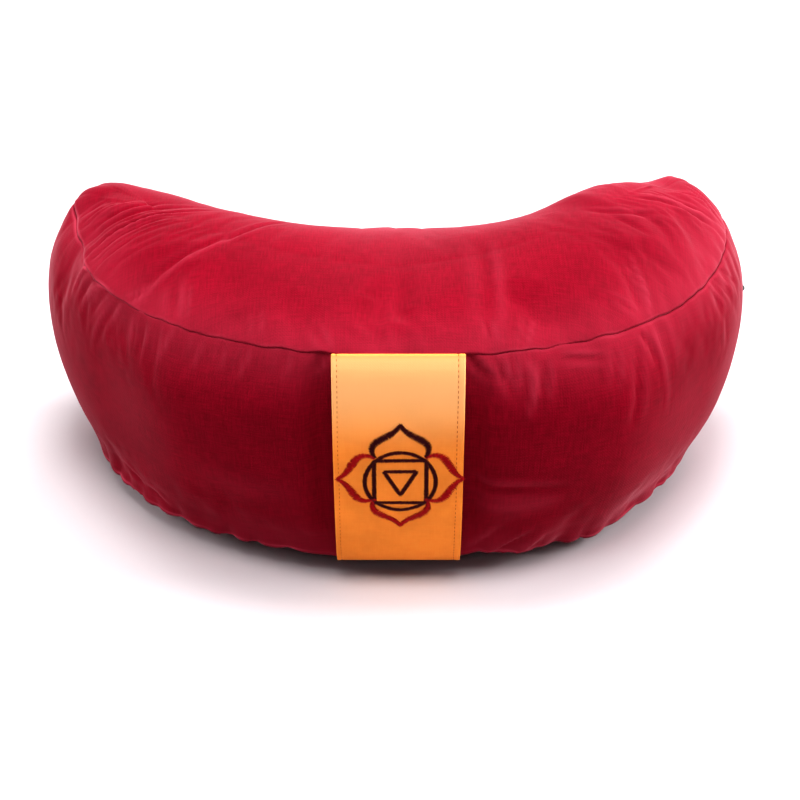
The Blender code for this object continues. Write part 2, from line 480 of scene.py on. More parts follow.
# Where the bottom seam is drawn in, from the left horn to the right one.
PINCHES = (
    Lump(x=-169, y=-19, z=20, radius=7, rise=-1.8),
    Lump(x=-155, y=-31, z=12, radius=6, rise=-1.5),
    Lump(x=-124, y=-62, z=12, radius=7, rise=-1.6),
    Lump(x=-97, y=-80, z=12, radius=6, rise=-2.0),
    Lump(x=-81, y=-87, z=12, radius=5, rise=-1.6),
    Lump(x=-61, y=-92, z=11, radius=6, rise=-1.8),
    Lump(x=88, y=-84, z=11, radius=7, rise=-2.4),
    Lump(x=139, y=-58, z=16, radius=7, rise=-2.2),
    Lump(x=159, y=-30, z=14, radius=6, rise=-2.2),
    Lump(x=171, y=-26, z=24, radius=6, rise=-1.6),
)

# The left horn's fan comes first, then the middle, the right horn and the folds at the strap.
TOP_CREASES = (
    Crease((-190, 22), (-158, 33), (-112, 42), 1.8, 1.3),
    Crease((-185, 8), (-156, 22), (-104, 36), 1.4, 2.0),
    Crease((-184, 5), (-158, 18), (-122, 29), 1.2, -1.3),
    Crease((-183, 1), (-160, 11), (-134, 20), 1.3, 1.6),
    Crease((-181, -3), (-163, 6), (-146, 12), 1.1, -0.9),
    Crease((-178, -9), (-163, -3), (-148, 3), 1.3, 1.1),
    Crease((-170, -19), (-154, -13), (-128, -5), 1.9, 0.8),
    Crease((-189, 31), (-166, 38), (-136, 45), 1.6, 1.0),
    Crease((-190, 36), (-170, 43), (-146, 49), 1.4, -0.7),
    Crease((-192, 52), (-186, 55), (-174, 57), 1.4, 0.9),
    Crease((-190, 44), (-182, 47), (-168, 50), 1.5, 0.8),
    Crease((-102, -18), (-88, 1), (-62, 28), 1.5, 1.7),
    Crease((-150, -50), (-122, -30), (-72, 8), 1.6, -1.2),
    Crease((-140, -36), (-112, -18), (-92, -2), 2.4, 0.7),
    Crease((-125, -44), (-124, -58), (-124, -74), 3.0, 1.1),
    Crease((-117, -50), (-117, -62), (-118, -76), 1.4, 1.5),
    Crease((-158, -43), (-148, -44), (-137, -43), 1.4, 1.0),
    Crease((-153, -49), (-147, -48), (-140, -47), 1.3, 0.9),
    Crease((-76, -80), (-76, -88), (-76, -100), 1.6, 0.7),
    Crease((138, 22), (163, 27), (193, 35), 1.3, 1.8),
    Crease((140, 27), (165, 32), (192, 40), 1.2, -0.8),
    Crease((106, 13), (130, 6), (158, 14), 1.7, 0.9),
    Crease((150, 36), (172, 37), (194, 44), 1.2, 1.2),
    Crease((160, 30), (176, 31), (190, 36), 1.1, 0.8),
    Crease((152, 50), (170, 50), (190, 56), 1.3, 1.0),
    Crease((174, 60), (184, 52), (196, 50), 1.2, 1.6),
    Crease((168, 46), (180, 44), (194, 48), 1.1, -0.8),
    Crease((172, 66), (183, 60), (194, 60), 1.2, 1.2),
    Crease((130, -28), (137, -47), (142, -64), 1.4, -1.2),
    Crease((122, -34), (130, -50), (137, -66), 2.2, 0.9),
    Crease((116, -62), (126, -63), (138, -66), 1.6, 0.9),
    Crease((46, -12), (49, -60), (48, -112), 4.0, 1.2),
    Crease((49, -88), (49, -98), (50, -112), 1.6, 1.2),
    Crease((71, -84), (69, -94), (66, -108), 1.6, 1.0),
    Crease((-44, -96), (-41, -104), (-37, -114), 2.0, 0.8),
)

# The left horn comes first, then the left front, the right front and the right horn.
BAND_CREASES = (
    Crease((-180, 150), (-188, 141), (-193, 124), 1.5, -1.4),
    Crease((-175, 148), (-183, 136), (-188, 120), 1.7, 1.5),
    Crease((-172, 146), (-178, 136), (-184, 124), 1.4, -1.0),
    Crease((-166, 146), (-173, 134), (-179, 118), 1.9, 1.5),
    Crease((-163, 140), (-172, 122), (-177, 100), 1.6, -1.1),
    Crease((-158, 144), (-166, 128), (-172, 108), 1.7, 1.2),
    Crease((-156, 142), (-160, 134), (-163, 122), 1.4, -0.8),
    Crease((-148, 140), (-149, 130), (-149, 117), 1.5, -0.9),
    Crease((-141, 142), (-141, 130), (-142, 116), 1.9, 1.8),
    Crease((-133, 142), (-131, 132), (-131, 118), 1.7, 1.2),
    Crease((-123, 143), (-125, 135), (-128, 122), 1.5, -0.9),
    Crease((-108, 144), (-109, 136), (-111, 126), 2.0, 0.9),
    Crease((-94, 146), (-95, 138), (-97, 130), 1.9, 0.7),
    Crease((-81, 146), (-83, 138), (-86, 128), 1.7, 1.3),
    Crease((-60, 148), (-61, 140), (-63, 132), 2.1, 0.8),
    Crease((-40, 149), (-42, 143), (-48, 136), 1.9, 1.3),
    Crease((39, 148), (43, 141), (50, 134), 2.0, 2.4),
    Crease((52, 146), (56, 136), (60, 124), 1.9, 2.1),
    Crease((62, 146), (61, 138), (60, 128), 1.9, 1.8),
    Crease((68, 143), (71, 130), (65, 112), 2.1, -1.7),
    Crease((78, 142), (77, 132), (74, 120), 2.1, 1.7),
    Crease((86, 139), (98, 137), (114, 133), 1.7, 1.2),
    Crease((118, 138), (116, 128), (112, 116), 2.1, 1.6),
    Crease((131, 136), (126, 112), (123, 94), 2.5, 2.3),
    Crease((134, 141), (138, 132), (140, 118), 1.9, 2.7),
    Crease((143, 143), (144, 124), (146, 90), 1.4, -2.0),
    Crease((148, 142), (150, 128), (150, 108), 2.5, 0.8),
    Crease((183, 144), (188, 134), (194, 120), 1.2, -1.1),
    Crease((187, 144), (192, 134), (198, 122), 1.2, 1.1),
    Crease((190, 144), (195, 134), (201, 122), 1.2, -1.0),
    Crease((193, 144), (198, 134), (204, 124), 1.2, 0.9),
    Crease((36, 72), (60, 68), (92, 61), 2.8, 1.3),
    Crease((40, 60), (64, 55), (90, 56), 6.0, -0.7),
    Crease((50, 8), (64, 18), (76, 32), 2.5, 3.0),
    Crease((62, 6), (72, 14), (82, 30), 2.5, -2.0),
    Crease((40, 14), (50, 24), (58, 40), 2.8, 1.2),
    Crease((-166, 26), (-158, 26), (-149, 20), 1.9, 1.3),
    Crease((-150, 22), (-142, 22), (-132, 16), 1.9, 1.0),
    Crease((-120, 50), (-80, 44), (-44, 50), 10.0, 0.6),
)


@dataclass
class Crescent:
    """The cover's shape before its small folds: a middle line and the sections along it."""

    half_length: float = 0.212
    depth: float = 0.268
    reach: float = math.radians(60.5)
    tip_rounding: float = 2.7
    core_shortening: float = 0.27
    crown_power: float = 2.4
    bulge_power: float = 2.2
    foot_height: float = 0.0115
    foot_reach: float = 0.0235
    horn_reach: float = 0.1081
    sections: tuple[Section, ...] = SECTIONS
    centre: np.ndarray = field(init=False)

    def __post_init__(self) -> None:
        """Hang the middle line's ellipse on the frame: on the strap's middle and the horns."""
        strap_low, strap_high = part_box("carry_strap")
        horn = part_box("cushion")[1][1]
        self.centre = np.array(((strap_low[0] + strap_high[0]) / 2 - 0.00007, horn + self.horn_reach))

    def value(self, column: str, places: np.ndarray) -> np.ndarray:
        """Read a section size smoothly between the table's rows.

        Args:
            column: the size's name.
            places: where along the crescent, from -1 to 1.

        Returns:
            The size at each place.
        """
        knots = np.array([row.place for row in self.sections])
        values = np.array([getattr(row, column) for row in self.sections])
        slopes = np.gradient(values, knots)
        step = np.clip(np.searchsorted(knots, places) - 1, 0, len(knots) - 2)
        span = knots[step + 1] - knots[step]
        t = (places - knots[step]) / span
        start = values[step] * (1 + 2 * t) * (1 - t) ** 2 + slopes[step] * span * t * (1 - t) ** 2
        end = values[step + 1] * t * t * (3 - 2 * t) + slopes[step + 1] * span * t * t * (t - 1)
        return start + end

    def middle(self, places: np.ndarray) -> np.ndarray:
        """Give the middle line's points in plan, one row for each place."""
        angles = self.reach * places
        return self.centre + np.stack(
            (self.half_length * np.sin(angles), -self.depth * np.cos(angles)), axis=1
        )

    def outward(self, places: np.ndarray) -> np.ndarray:
        """Give the directions square to the middle line, towards the round front."""
        angles = self.reach * places
        square = np.stack((self.depth * np.sin(angles), -self.half_length * np.cos(angles)), axis=1)
        return square / np.linalg.norm(square, axis=1, keepdims=True)

    def lifted(self, inward: np.ndarray) -> np.ndarray:
        """Give how far the base is off the floor, from 1 at its seam to 0 where it lies flat."""
        return np.clip(1.0 - inward / self.foot_reach, 0.0, 1.0) ** 1.1

    def half_width(self, places: np.ndarray) -> np.ndarray:
        """Give half the seam-to-seam width, rounded off at the horn tips."""
        rounding = np.clip(1.0 - np.abs(places) ** self.tip_rounding, 0.0, 1.0)
        return self.value("half_width", places) * np.sqrt(rounding)


class CoverGrid:
    """Points of the cover on a grid: stations round the outline, rings from top to base.

    Ring values run from 0 at the top panel's middle line to 1 at the top seam, to 2 at the
    bottom seam and to 3 at the base's middle line.
    """

    def __init__(self, crescent: Crescent, side_steps: int, rings: np.ndarray, crowding: float) -> None:
        """Lay out the grid and work out its smooth points.

        Args:
            crescent: the cover's shape.
            side_steps: stations along one side, from horn tip to horn tip.
            rings: the ring values, rising from 0 to 3.
            crowding: how much the stations crowd at the horn tips, from 0 to 1.
        """
        even = np.linspace(-1.0, 1.0, side_steps + 1)
        front = crowding * np.sin(even * math.pi / 2) + (1.0 - crowding) * even
        self.crescent = crescent
        self.rings = rings
        self.half = side_steps
        self.place = np.concatenate((front, front[-2:0:-1]))
        self.side = np.where(np.arange(len(self.place)) <= side_steps, 1.0, -1.0)
        self.count = len(self.place)
        reach = crescent.half_width(self.place) * self.side
        self.seam = crescent.middle(self.place) + crescent.outward(self.place) * reach[:, None]
        self.core = crescent.middle(self.place * (1.0 - crescent.core_shortening * self.place**2))
        along = np.roll(self.seam, -1, axis=0) - np.roll(self.seam, 1, axis=0)
        along /= np.linalg.norm(along, axis=1, keepdims=True)
        self.outward = np.stack((along[:, 1], -along[:, 0]), axis=1)
        steps = np.linalg.norm(self.seam - np.roll(self.seam, 1, axis=0), axis=1)
        self.travel = np.cumsum(steps) - steps[0]
        self.perimeter = float(steps.sum())
        self.points = np.stack([self._ring(value) for value in rings])
        self.panel = np.where(rings <= 1.0, 0, np.where(rings <= 2.0, 1, 2))
        self.profile = self._profile()

    def _ring(self, value: float) -> np.ndarray:
        """Give the points of one ring, one row for each station."""
        shape = self.crescent
        height = shape.value("seam_height", self.place)
        inset = shape.value("foot_inset", self.place)
        if value <= 1.0:
            plan = self.core + (self.seam - self.core) * value
            rise = shape.value("crown", self.place) * (1.0 - value**shape.crown_power)
            return np.column_stack((plan, height + rise))
        if value <= 2.0:
            fall = value - 1.0
            bulge = shape.value("bulge", self.place) * (1.0 - abs(2.0 * fall - 1.0) ** shape.bulge_power)
            plan = self.seam + self.outward * (bulge - inset * fall)[:, None]
            return np.column_stack((plan, height + (shape.foot_height - height) * fall))
        ratio = 3.0 - value
        rim = self.seam - self.outward * inset[:, None]
        plan = self.core + (rim - self.core) * ratio
        inward = np.linalg.norm(plan - rim, axis=1)
        return np.column_stack((plan, shape.foot_height * shape.lifted(inward)))

    def _profile(self) -> np.ndarray:
        """Give each point's distance from the nearest seam, along the surface."""
        steps = np.linalg.norm(np.diff(self.points, axis=0), axis=2)
        run = np.concatenate((np.zeros((1, self.count)), np.cumsum(steps, axis=0)))
        top = run[np.argmin(abs(self.rings - 1.0))]
        foot = run[np.argmin(abs(self.rings - 2.0))]
        self.run = run
        return np.minimum(abs(run - top), abs(run - foot))

    def normals(self, points: np.ndarray) -> np.ndarray:
        """Work out the outward normals of grid points.

        Args:
            points: the points, rings by stations by three.

        Returns:
            Unit normals in the same layout.
        """
        around = np.roll(points, -1, axis=1) - np.roll(points, 1, axis=1)
        down = np.empty_like(points)
        down[1:-1] = points[2:] - points[:-2]
        down[0] = points[1] - points[0]
        down[-1] = points[-1] - points[-2]
        normals = np.cross(down, around)
        normals /= np.maximum(np.linalg.norm(normals, axis=2, keepdims=True), 1e-12)
        normals[0] = (0.0, 0.0, 1.0)
        normals[-1] = (0.0, 0.0, -1.0)
        return normals

    def vertex_numbers(self) -> np.ndarray:
        """Number the grid's vertices; both sides share the points of the two middle lines."""
        around = np.arange(self.count)
        shared = np.where(around <= self.half, around, self.count - around)
        line = self.half + 1
        numbers = [shared]
        numbers += [line + self.count * ring + around for ring in range(len(self.rings) - 2)]
        numbers.append(line + self.count * (len(self.rings) - 2) + shared)
        return np.stack(numbers)

    def mesh(self, name: str, points: np.ndarray) -> bpy.types.Mesh:
        """Make a closed mesh of grid points, with its weave UV map.

        Args:
            name: the mesh's name.
            points: the points, rings by stations by three.

        Returns:
            The mesh.
        """
        numbers = self.vertex_numbers()
        vertices = np.zeros((numbers.max() + 1, 3))
        vertices[numbers] = points
        ahead = np.roll(numbers, -1, axis=1)
        faces = np.stack((numbers[:-1], numbers[1:], ahead[1:], ahead[:-1]), axis=2).reshape(-1, 4)
        mesh = bpy.data.meshes.new(name)
        mesh.from_pydata(vertices.tolist(), [], faces.tolist())
        around = np.broadcast_to(self.travel, self.run.shape)
        after = np.append(self.travel[1:], self.perimeter)
        after = np.broadcast_to(after, self.run.shape)
        run_after = np.roll(self.run, -1, axis=1)
        flat = np.stack(
            (
                np.stack((around[:-1], self.run[:-1]), axis=2),
                np.stack((around[:-1], self.run[1:]), axis=2),
                np.stack((after[:-1], run_after[1:]), axis=2),
                np.stack((after[:-1], run_after[:-1]), axis=2),
            ),
            axis=2,
        )
        level = vertices[faces][:, :, :2].reshape(flat.shape)
        on_band = (self.panel[1:] == Panel.BAND.value)[:, None, None, None]
        weave = np.where(on_band, flat, level)
        layer = mesh.uv_layers.new(name="weave")
        layer.data.foreach_set("uv", weave.reshape(-1))
        return mesh


def wrinkled(travel: np.ndarray, pitch: float, drift: float) -> np.ndarray:
    """Give uneven gathers along a seam: round crests between sharp pinches.

    Args:
        travel: the distance along the seam, in metres.
        pitch: the usual distance between pinches.
        drift: shifts the pattern, so that two seams differ.

    Returns:
        The height at each distance, from about -1 at a pinch to 1 on a crest.
    """
    bend = 0.55 * np.sin(travel / (pitch * 1.9) + drift)
    bend = bend + 0.35 * np.sin(travel / (pitch * 0.83) + 2.0 * drift)
    phase = math.pi * travel / pitch + bend * 1.6 + drift
    size = 0.65 + 0.35 * np.sin(travel / (pitch * 2.7) + 3.0 * drift)
    return (2.0 * np.abs(np.sin(phase)) ** 0.7 - 1.0) * size


@dataclass
class Filling:
    """The filling's push on the cover, worked out by a short cloth simulation.

    The cloth starts a little inside the cover's shape, is blown up against its drawn-in
    seams, and gives back how each point moves along its normal.
    """

    side_steps: int = 180
    ring_count: int = 58
    crowding: float = 0.80
    slack: float = 2.0 * MM
    pressure: float = 4.0
    seam_shrink: float = 0.05
    seam_reach: float = 6.0 * MM
    frames: int = 20
    cap: float = 2.4 * MM
    broad_passes: int = 40
    fine_share: float = 0.55
    back_share: float = 0.2

    def push(self, crescent: Crescent, shape: "Cover", fine: CoverGrid) -> np.ndarray:
        """Blow the cover up and read how far it moves.

        Args:
            crescent: the cover's smooth shape.
            shape: the cover, which gives the coarse grid its lumps.
            fine: the grid that the result is wanted on.

        Returns:
            The move of each fine grid point along its normal.
        """
        rings = np.linspace(0.0, 3.0, self.ring_count)
        rings = np.sort(np.append(rings, (1.0, 2.0)))
        grid = CoverGrid(crescent, self.side_steps, rings, self.crowding)
        points = shape.swollen(grid)
        normals = grid.normals(points)
        free = shape.free_of_floor(grid)
        start = points - normals * self.slack * free[:, :, None]
        blown = self._blown(grid, start)
        move = ((blown - points) * normals).sum(axis=2) * free
        broad = move.copy()
        for _ in range(self.broad_passes):
            broad = (broad + np.roll(broad, 1, axis=1) + np.roll(broad, -1, axis=1)) / 3.0
            broad[1:-1] = (broad[:-2] + broad[1:-1] + broad[2:]) / 3.0
        held = 1.0 - 0.75 * np.exp(-((grid.profile / (2.0 * self.seam_reach)) ** 2))
        held *= np.interp(grid.rings, (0.0, 0.15, 0.45), (0.35, 0.45, 1.0))[:, None]
        calm = np.interp(grid.rings, (0.0, 0.5, 1.1, 1.4), (0.0, 1.0, 1.0, 0.0))[:, None]
        calm = calm * np.where(grid.side < 0, np.clip((0.99 - np.abs(grid.place)) / 0.04, 0.0, 1.0), 0.0)
        move = self.cap * np.tanh(self.fine_share * (move - broad) * held / self.cap)
        move *= 1.0 - (1.0 - self.back_share) * calm
        LOG.info("filling: moves %.1f to %.1f mm", move.min() / MM, move.max() / MM)
        return self._on_fine(grid, fine, move)

    def _blown(self, grid: CoverGrid, start: np.ndarray) -> np.ndarray:
        """Run the cloth from its start and give its last points."""
        mesh = grid.mesh("filling", start)
        holder = bpy.data.objects.new("filling", mesh)
        bpy.context.scene.collection.objects.link(holder)
        numbers = grid.vertex_numbers()
        held = holder.vertex_groups.new(name="held")
        on_floor = np.unique(numbers[grid.rings > 2.3])
        held.add(on_floor.tolist(), 1.0, "REPLACE")
        seams = holder.vertex_groups.new(name="seams")
        drawn = np.exp(-((grid.profile / self.seam_reach) ** 2))
        for number, weight in zip(numbers.reshape(-1).tolist(), drawn.reshape(-1).tolist()):
            if weight > 0.02:
                seams.add([number], weight, "REPLACE")
        cloth = holder.modifiers.new("cloth", "CLOTH")
        settings = cloth.settings
        settings.quality = 5
        settings.mass = 0.2
        settings.tension_stiffness = 25.0
        settings.compression_stiffness = 10.0
        settings.shear_stiffness = 8.0
        settings.bending_stiffness = 0.08
        settings.use_pressure = True
        settings.uniform_pressure_force = self.pressure
        settings.effector_weights.gravity = 0.0
        settings.vertex_group_mass = "held"
        settings.vertex_group_shrink = "seams"
        settings.shrink_min = 0.0
        settings.shrink_max = self.seam_shrink
        cloth.point_cache.frame_start = 1
        cloth.point_cache.frame_end = self.frames
        for frame_number in range(1, self.frames + 1):
            bpy.context.scene.frame_set(frame_number)
        shown = holder.evaluated_get(bpy.context.evaluated_depsgraph_get())
        blown = bpy.data.meshes.new_from_object(shown)
        flat = np.empty(3 * len(blown.vertices))
        blown.vertices.foreach_get("co", flat)
        bpy.data.objects.remove(holder, do_unlink=True)
        bpy.data.meshes.remove(blown)
        bpy.context.scene.frame_set(1)
        return flat.reshape(-1, 3)[numbers]

    @staticmethod
    def _on_fine(coarse: CoverGrid, fine: CoverGrid, move: np.ndarray) -> np.ndarray:
        """Carry a coarse grid's values over to the fine grid, by place, side and ring."""
        stations = np.empty((len(coarse.rings), fine.count))
        for side in (1.0, -1.0):
            at = np.nonzero(fine.side == side)[0]
            front = np.arange(coarse.half + 1)
            back = np.concatenate(((0,), np.arange(coarse.count - 1, coarse.half, -1), (coarse.half,)))
            order = front if side > 0 else back
            for ring in range(len(coarse.rings)):
                stations[ring, at] = np.interp(fine.place[at], coarse.place[order], move[ring, order])
        result = np.empty((len(fine.rings), fine.count))
        for station in range(fine.count):
            result[:, station] = np.interp(fine.rings, coarse.rings, stations[:, station])
        return result


@dataclass
class Cover:
    """The filled cover: its smooth crescent, its seams, and the folds that the filling makes."""

    crescent: Crescent = field(default_factory=Crescent)
    filling: Filling = field(default_factory=Filling)
    side_steps: int = 322
    crowding: float = 0.86
    groove_depth: float = 1.3 * MM
    groove_width: float = 0.9 * MM
    roll_depth: float = 1.6 * MM
    roll_width: float = 7.0 * MM
    shoulder_rise: float = 13.0 * MM
    shoulder_reach: float = 42.0 * MM
    seam_wobble: float = 0.45 * MM
    gather_pitch: float = 0.017
    gather_depth: float = 0.55 * MM
    gather_reach: float = 0.016
    scallop_pitch: float = 0.019
    scallop_depth: float = 1.0 * MM
    scallop_reach: float = 0.013
    lip_rise: float = 2.0 * MM
    lip_reach: float = 6.0 * MM
    zip_start: tuple[float, float] = (0.2115, 0.0860)
    zip_height: float = 0.094
    zip_length: float = 0.300
    zip_fold: float = 7.0 * MM
    zip_fade: float = 4.0 * MM
    fill: float = 0.85

    def ring_values(self) -> np.ndarray:
        """Give the fine grid's rings, which crowd at the two seams."""
        near = np.array((0.0, 0.0006, 0.0013, 0.0021, 0.0031, 0.0044, 0.0060))
        top = np.concatenate((np.linspace(0.0, 0.915, 40), 1.0 - near[::-1] / 0.075))
        band = np.linspace(0.0075 / 0.145, 1.0 - 0.0075 / 0.145, 74)
        band = np.concatenate((1.0 + near[1:] / 0.145, 1.0 + band, 2.0 - near[::-1] / 0.145))
        base = np.concatenate((2.0 + near[1:] / 0.075, np.linspace(2.10, 3.0, 14)))
        return np.concatenate((top, band, base))

    def build(self) -> bpy.types.Object:
        """Build the cover with its folds.

        Returns:
            The cover, in place of the frame's cushion.
        """
        grid = CoverGrid(self.crescent, self.side_steps, self.ring_values(), self.crowding)
        points = self.swollen(grid)
        normals = grid.normals(points)
        height = self._seams(grid) + self._shoulder(grid) + self._placket(grid)
        height += self.filling.push(self.crescent, self, grid)
        creases, wear_and_painted_light = self._creases(grid, points)
        height += creases
        # Painted highlight, partly rubbing: pales the crease ridges, the seams' rolled edges and the places
        # where light falls.
        wear_and_painted_light = np.clip(wear_and_painted_light + self._seam_edge_highlight(grid) + self._painted_highlights(grid), 0.0, 1.0)
        height *= self.free_of_floor(grid)
        points = points + normals * height[:, :, None]
        points[:, :, 2] += self._wobble(grid)
        points[:, :, 2] = np.maximum(points[:, :, 2], 0.0)
        mesh = grid.mesh("cushion_cover", points)
        numbers = grid.vertex_numbers()
        # Paler places hold painted highlight with some rubbing; darker places hold painted shade.
        for name, amounts in (("wear_and_painted_light", wear_and_painted_light), ("painted_shade", self._painted_shade(grid))):
            values = np.zeros(len(mesh.vertices))
            values[numbers] = amounts
            mesh.attributes.new(name, "FLOAT", "POINT").data.foreach_set("value", values)
        self.grid, self.points, self.normals = grid, points, grid.normals(points)
        cover = new_piece("cushion_cover", mesh, RED_COTTON.material())
        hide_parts("cushion")
        return cover

    def swollen(self, grid: CoverGrid) -> np.ndarray:
        """Give the grid's points with the filling's soft lumps and the seams' pulls."""
        points = grid.points.copy()
        normals = grid.normals(points)
        free = self.free_of_floor(grid)
        for lump in LUMPS + PINCHES:
            middle = np.array((lump.x, lump.y, lump.z)) * MM
            distance = np.linalg.norm(grid.points - middle, axis=2)
            rise = lump.rise * MM * np.exp(-((distance / (lump.radius * MM)) ** 2)) * free
            points += normals * rise[:, :, None]
        for nudge in NUDGES:
            distance = np.linalg.norm(grid.points - np.array(nudge.place) * MM, axis=2)
            share = np.exp(-((distance / (nudge.radius * MM)) ** 2)) * free
            points += share[:, :, None] * np.array(nudge.move) * MM
        return points

    def free_of_floor(self, grid: CoverGrid) -> np.ndarray:
        """Give 1 where the cover may stand out, and 0 where it lies on the floor."""
        rim = grid.points[np.argmin(abs(grid.rings - 2.0))]
        inward = np.linalg.norm(grid.points[:, :, :2] - rim[None, :, :2], axis=2)
        return np.where(grid.rings[:, None] <= 2.0, 1.0, self.crescent.lifted(inward))

    def _painted_shade(self, grid: CoverGrid) -> np.ndarray:
        """Give the painted shade: darker down in the seams, for their shade and dark thread, and on the
        base's underside.
        """
        on_base = np.clip((grid.rings - 2.0) / 0.03, 0.0, 1.0)[:, None] * np.ones(grid.count)
        seam_shade = np.exp(-((grid.profile / (0.9 * MM)) ** 2))
        uneven = 0.75 + 0.25 * np.sin(grid.travel / 0.0047 + 1.3 * np.sin(grid.travel / 0.013))
        return np.clip(0.44 * seam_shade * uneven + 0.25 * on_base, 0.0, 0.9)

    def _shoulder(self, grid: CoverGrid) -> np.ndarray:
        """Give the band's swelling under the top seam, where neither strap nor horn holds it."""
        down = np.clip(grid.run - grid.run[np.argmin(abs(grid.rings - 1.0))], 0.0, None)
        share = down / self.shoulder_reach
        below = (down - self.shoulder_reach) / (down[np.argmin(abs(grid.rings - 2.0))] - self.shoulder_reach)
        rise = np.where(share < 1.0, share * (2.0 - share), 1.0 - np.clip(below, 0.0, 1.0) ** 2)
        x = np.abs(grid.seam[:, 0])
        share = np.clip((x - 0.037) / 0.014, 0.0, 1.0) * np.clip((0.175 - x) / 0.06, 0.0, 1.0)
        share = share * share * (3.0 - 2.0 * share) * np.where(grid.side > 0, 1.0, 0.6)
        share = np.where((x < 0.051) & (grid.side > 0), np.maximum(share, 0.3), share)
        return self.shoulder_rise * rise * share * (grid.panel == Panel.BAND.value)[:, None]

    def _seam_edge_highlight(self, grid: CoverGrid) -> np.ndarray:
        """Give the painted highlight on the rolled edges beside the seams, partly rubbed pale, most on the
        left horn.
        """
        edge = np.exp(-(((grid.profile - 1.6 * MM) / (0.8 * MM)) ** 2))
        left_horn = np.clip((-grid.place - 0.45) / 0.15, 0.0, 1.0)
        uneven = 0.6 + 0.4 * np.sin(grid.travel / 0.0071 + 1.5 * np.sin(grid.travel / 0.019))
        on_base = (grid.panel == Panel.BASE.value)[:, None]
        low = (grid.rings > 1.5)[:, None]
        return edge * (0.2 + 0.5 * left_horn + 0.6 * low) * uneven * ~on_base

    def _painted_highlights(self, grid: CoverGrid) -> np.ndarray:
        """Give the painted highlight where the light falls: along both seams' edges, on the right horn and
        towards the back.
        """
        to_top = np.abs(grid.run - grid.run[np.argmin(abs(grid.rings - 1.0))])
        on_top = (grid.rings <= 1.0)[:, None]
        edge = np.exp(-((to_top / np.where(on_top, 0.024, 0.020)) ** 2))
        edge = edge * (1.0 - 0.6 * np.abs(grid.place) ** 6)
        right_horn = np.clip((grid.place - 0.35) / 0.5, 0.0, 1.0)
        behind = np.interp(grid.rings, (0.0, 0.6), (0.0, 0.14))[:, None] * (grid.side < 0)
        to_foot = np.abs(grid.run - grid.run[np.argmin(abs(grid.rings - 2.0))])
        hem = np.exp(-((to_foot / 0.018) ** 2)) * np.where(grid.side > 0, 0.22 + 0.12 * grid.place, 0.1)
        on_band = (grid.panel == Panel.BAND.value)[:, None]
        return np.where(on_top, 0.25 * edge + 0.19 * right_horn + behind, on_band * (0.26 * edge + hem))

    def _seams(self, grid: CoverGrid) -> np.ndarray:
        """Give how far both seams draw the cover in, with their gathers."""
        distance = grid.profile
        low = (grid.rings > 1.5)[:, None]
        height = -self.groove_depth * np.where(low, 0.35, 1.0) * np.exp(-distance / self.groove_width)
        height -= self.roll_depth * np.where(low, 0.0, 1.0) * np.exp(-distance / self.roll_width)
        on_band = (grid.panel == Panel.BAND.value)[:, None]
        height += self.lip_rise * (low & on_band) * np.exp(-distance / self.lip_reach)
        travel = np.broadcast_to(grid.travel, distance.shape)
        to_top = np.abs(grid.run - grid.run[np.argmin(abs(grid.rings - 1.0))])
        to_foot = np.abs(grid.run - grid.run[np.argmin(abs(grid.rings - 2.0))])
        held = 1.0 - 0.7 * np.exp(-distance / (3.0 * MM))
        gathers = wrinkled(travel, self.gather_pitch, 0.4) * np.exp(-((to_top / self.gather_reach) ** 1.5))
        scallops = wrinkled(travel, self.scallop_pitch, 1.7)
        scallops = scallops * np.exp(-((to_foot / self.scallop_reach) ** 1.3))
        scallops *= 1.0 - 0.45 * np.clip((np.abs(grid.place) - 0.5) / 0.3, 0.0, 1.0)
        return height + self.gather_depth * gathers * held + self.scallop_depth * scallops

    def zipped(self, grid: CoverGrid) -> np.ndarray:
        """Give 1 at the stations where the closed zip runs, from its slider round to the back."""
        start = grid.travel[np.argmin(np.linalg.norm(grid.seam - self.zip_start, axis=1))]
        along = grid.travel - start
        begun = np.clip(along / self.zip_fade, 0.0, 1.0)
        return begun * np.clip((self.zip_length - along) / self.zip_fade, 0.0, 1.0)

    def _placket(self, grid: CoverGrid) -> np.ndarray:
        """Give the closed zip's slit, and the two stitched folds that meet over it."""
        off = np.abs(grid.points[:, :, 2] - self.zip_height)
        slit = -1.3 * MM * np.exp(-((off / (1.5 * MM)) ** 2))
        folds = 0.7 * MM * np.exp(-((off / self.zip_fold) ** 4))
        sewn = -0.5 * MM * np.exp(-(((off - self.zip_fold) / (2.0 * MM)) ** 2))
        on_band = (grid.panel == Panel.BAND.value)[:, None]
        return (slit + folds + sewn) * on_band * self.zipped(grid)

    def _wobble(self, grid: CoverGrid) -> np.ndarray:
        """Give how far the top seam strays up and down where its gathers pull it."""
        to_top = np.abs(grid.run - grid.run[np.argmin(abs(grid.rings - 1.0))])
        stray = np.sin(grid.travel / 0.0052 + 1.7 * np.sin(grid.travel / 0.023))
        stray = stray + 0.6 * np.sin(grid.travel / 0.0027 + 2.0 * np.sin(grid.travel / 0.017))
        return self.seam_wobble * stray * np.exp(-((to_top / (5.0 * MM)) ** 2))

    def _creases(self, grid: CoverGrid, points: np.ndarray) -> tuple[np.ndarray, np.ndarray]:
        """Work out the creases of the two tables.

        Args:
            grid: the fine grid.
            points: its points before the creases.

        Returns:
            How far each point moves out, and how pale it is with painted highlight and some rubbing, from 0
            to 1.
        """
        height = np.zeros(points.shape[:2])
        wear_and_painted_light = np.zeros(points.shape[:2])
        top = grid.rings <= 1.0
        seen_from_above = points[top][:, :, :2]
        self._press(TOP_CREASES, seen_from_above, height, wear_and_painted_light, top)
        band = (grid.rings > 1.0) & (grid.rings <= 2.0)
        front = grid.side > 0
        travel = grid.travel[front]

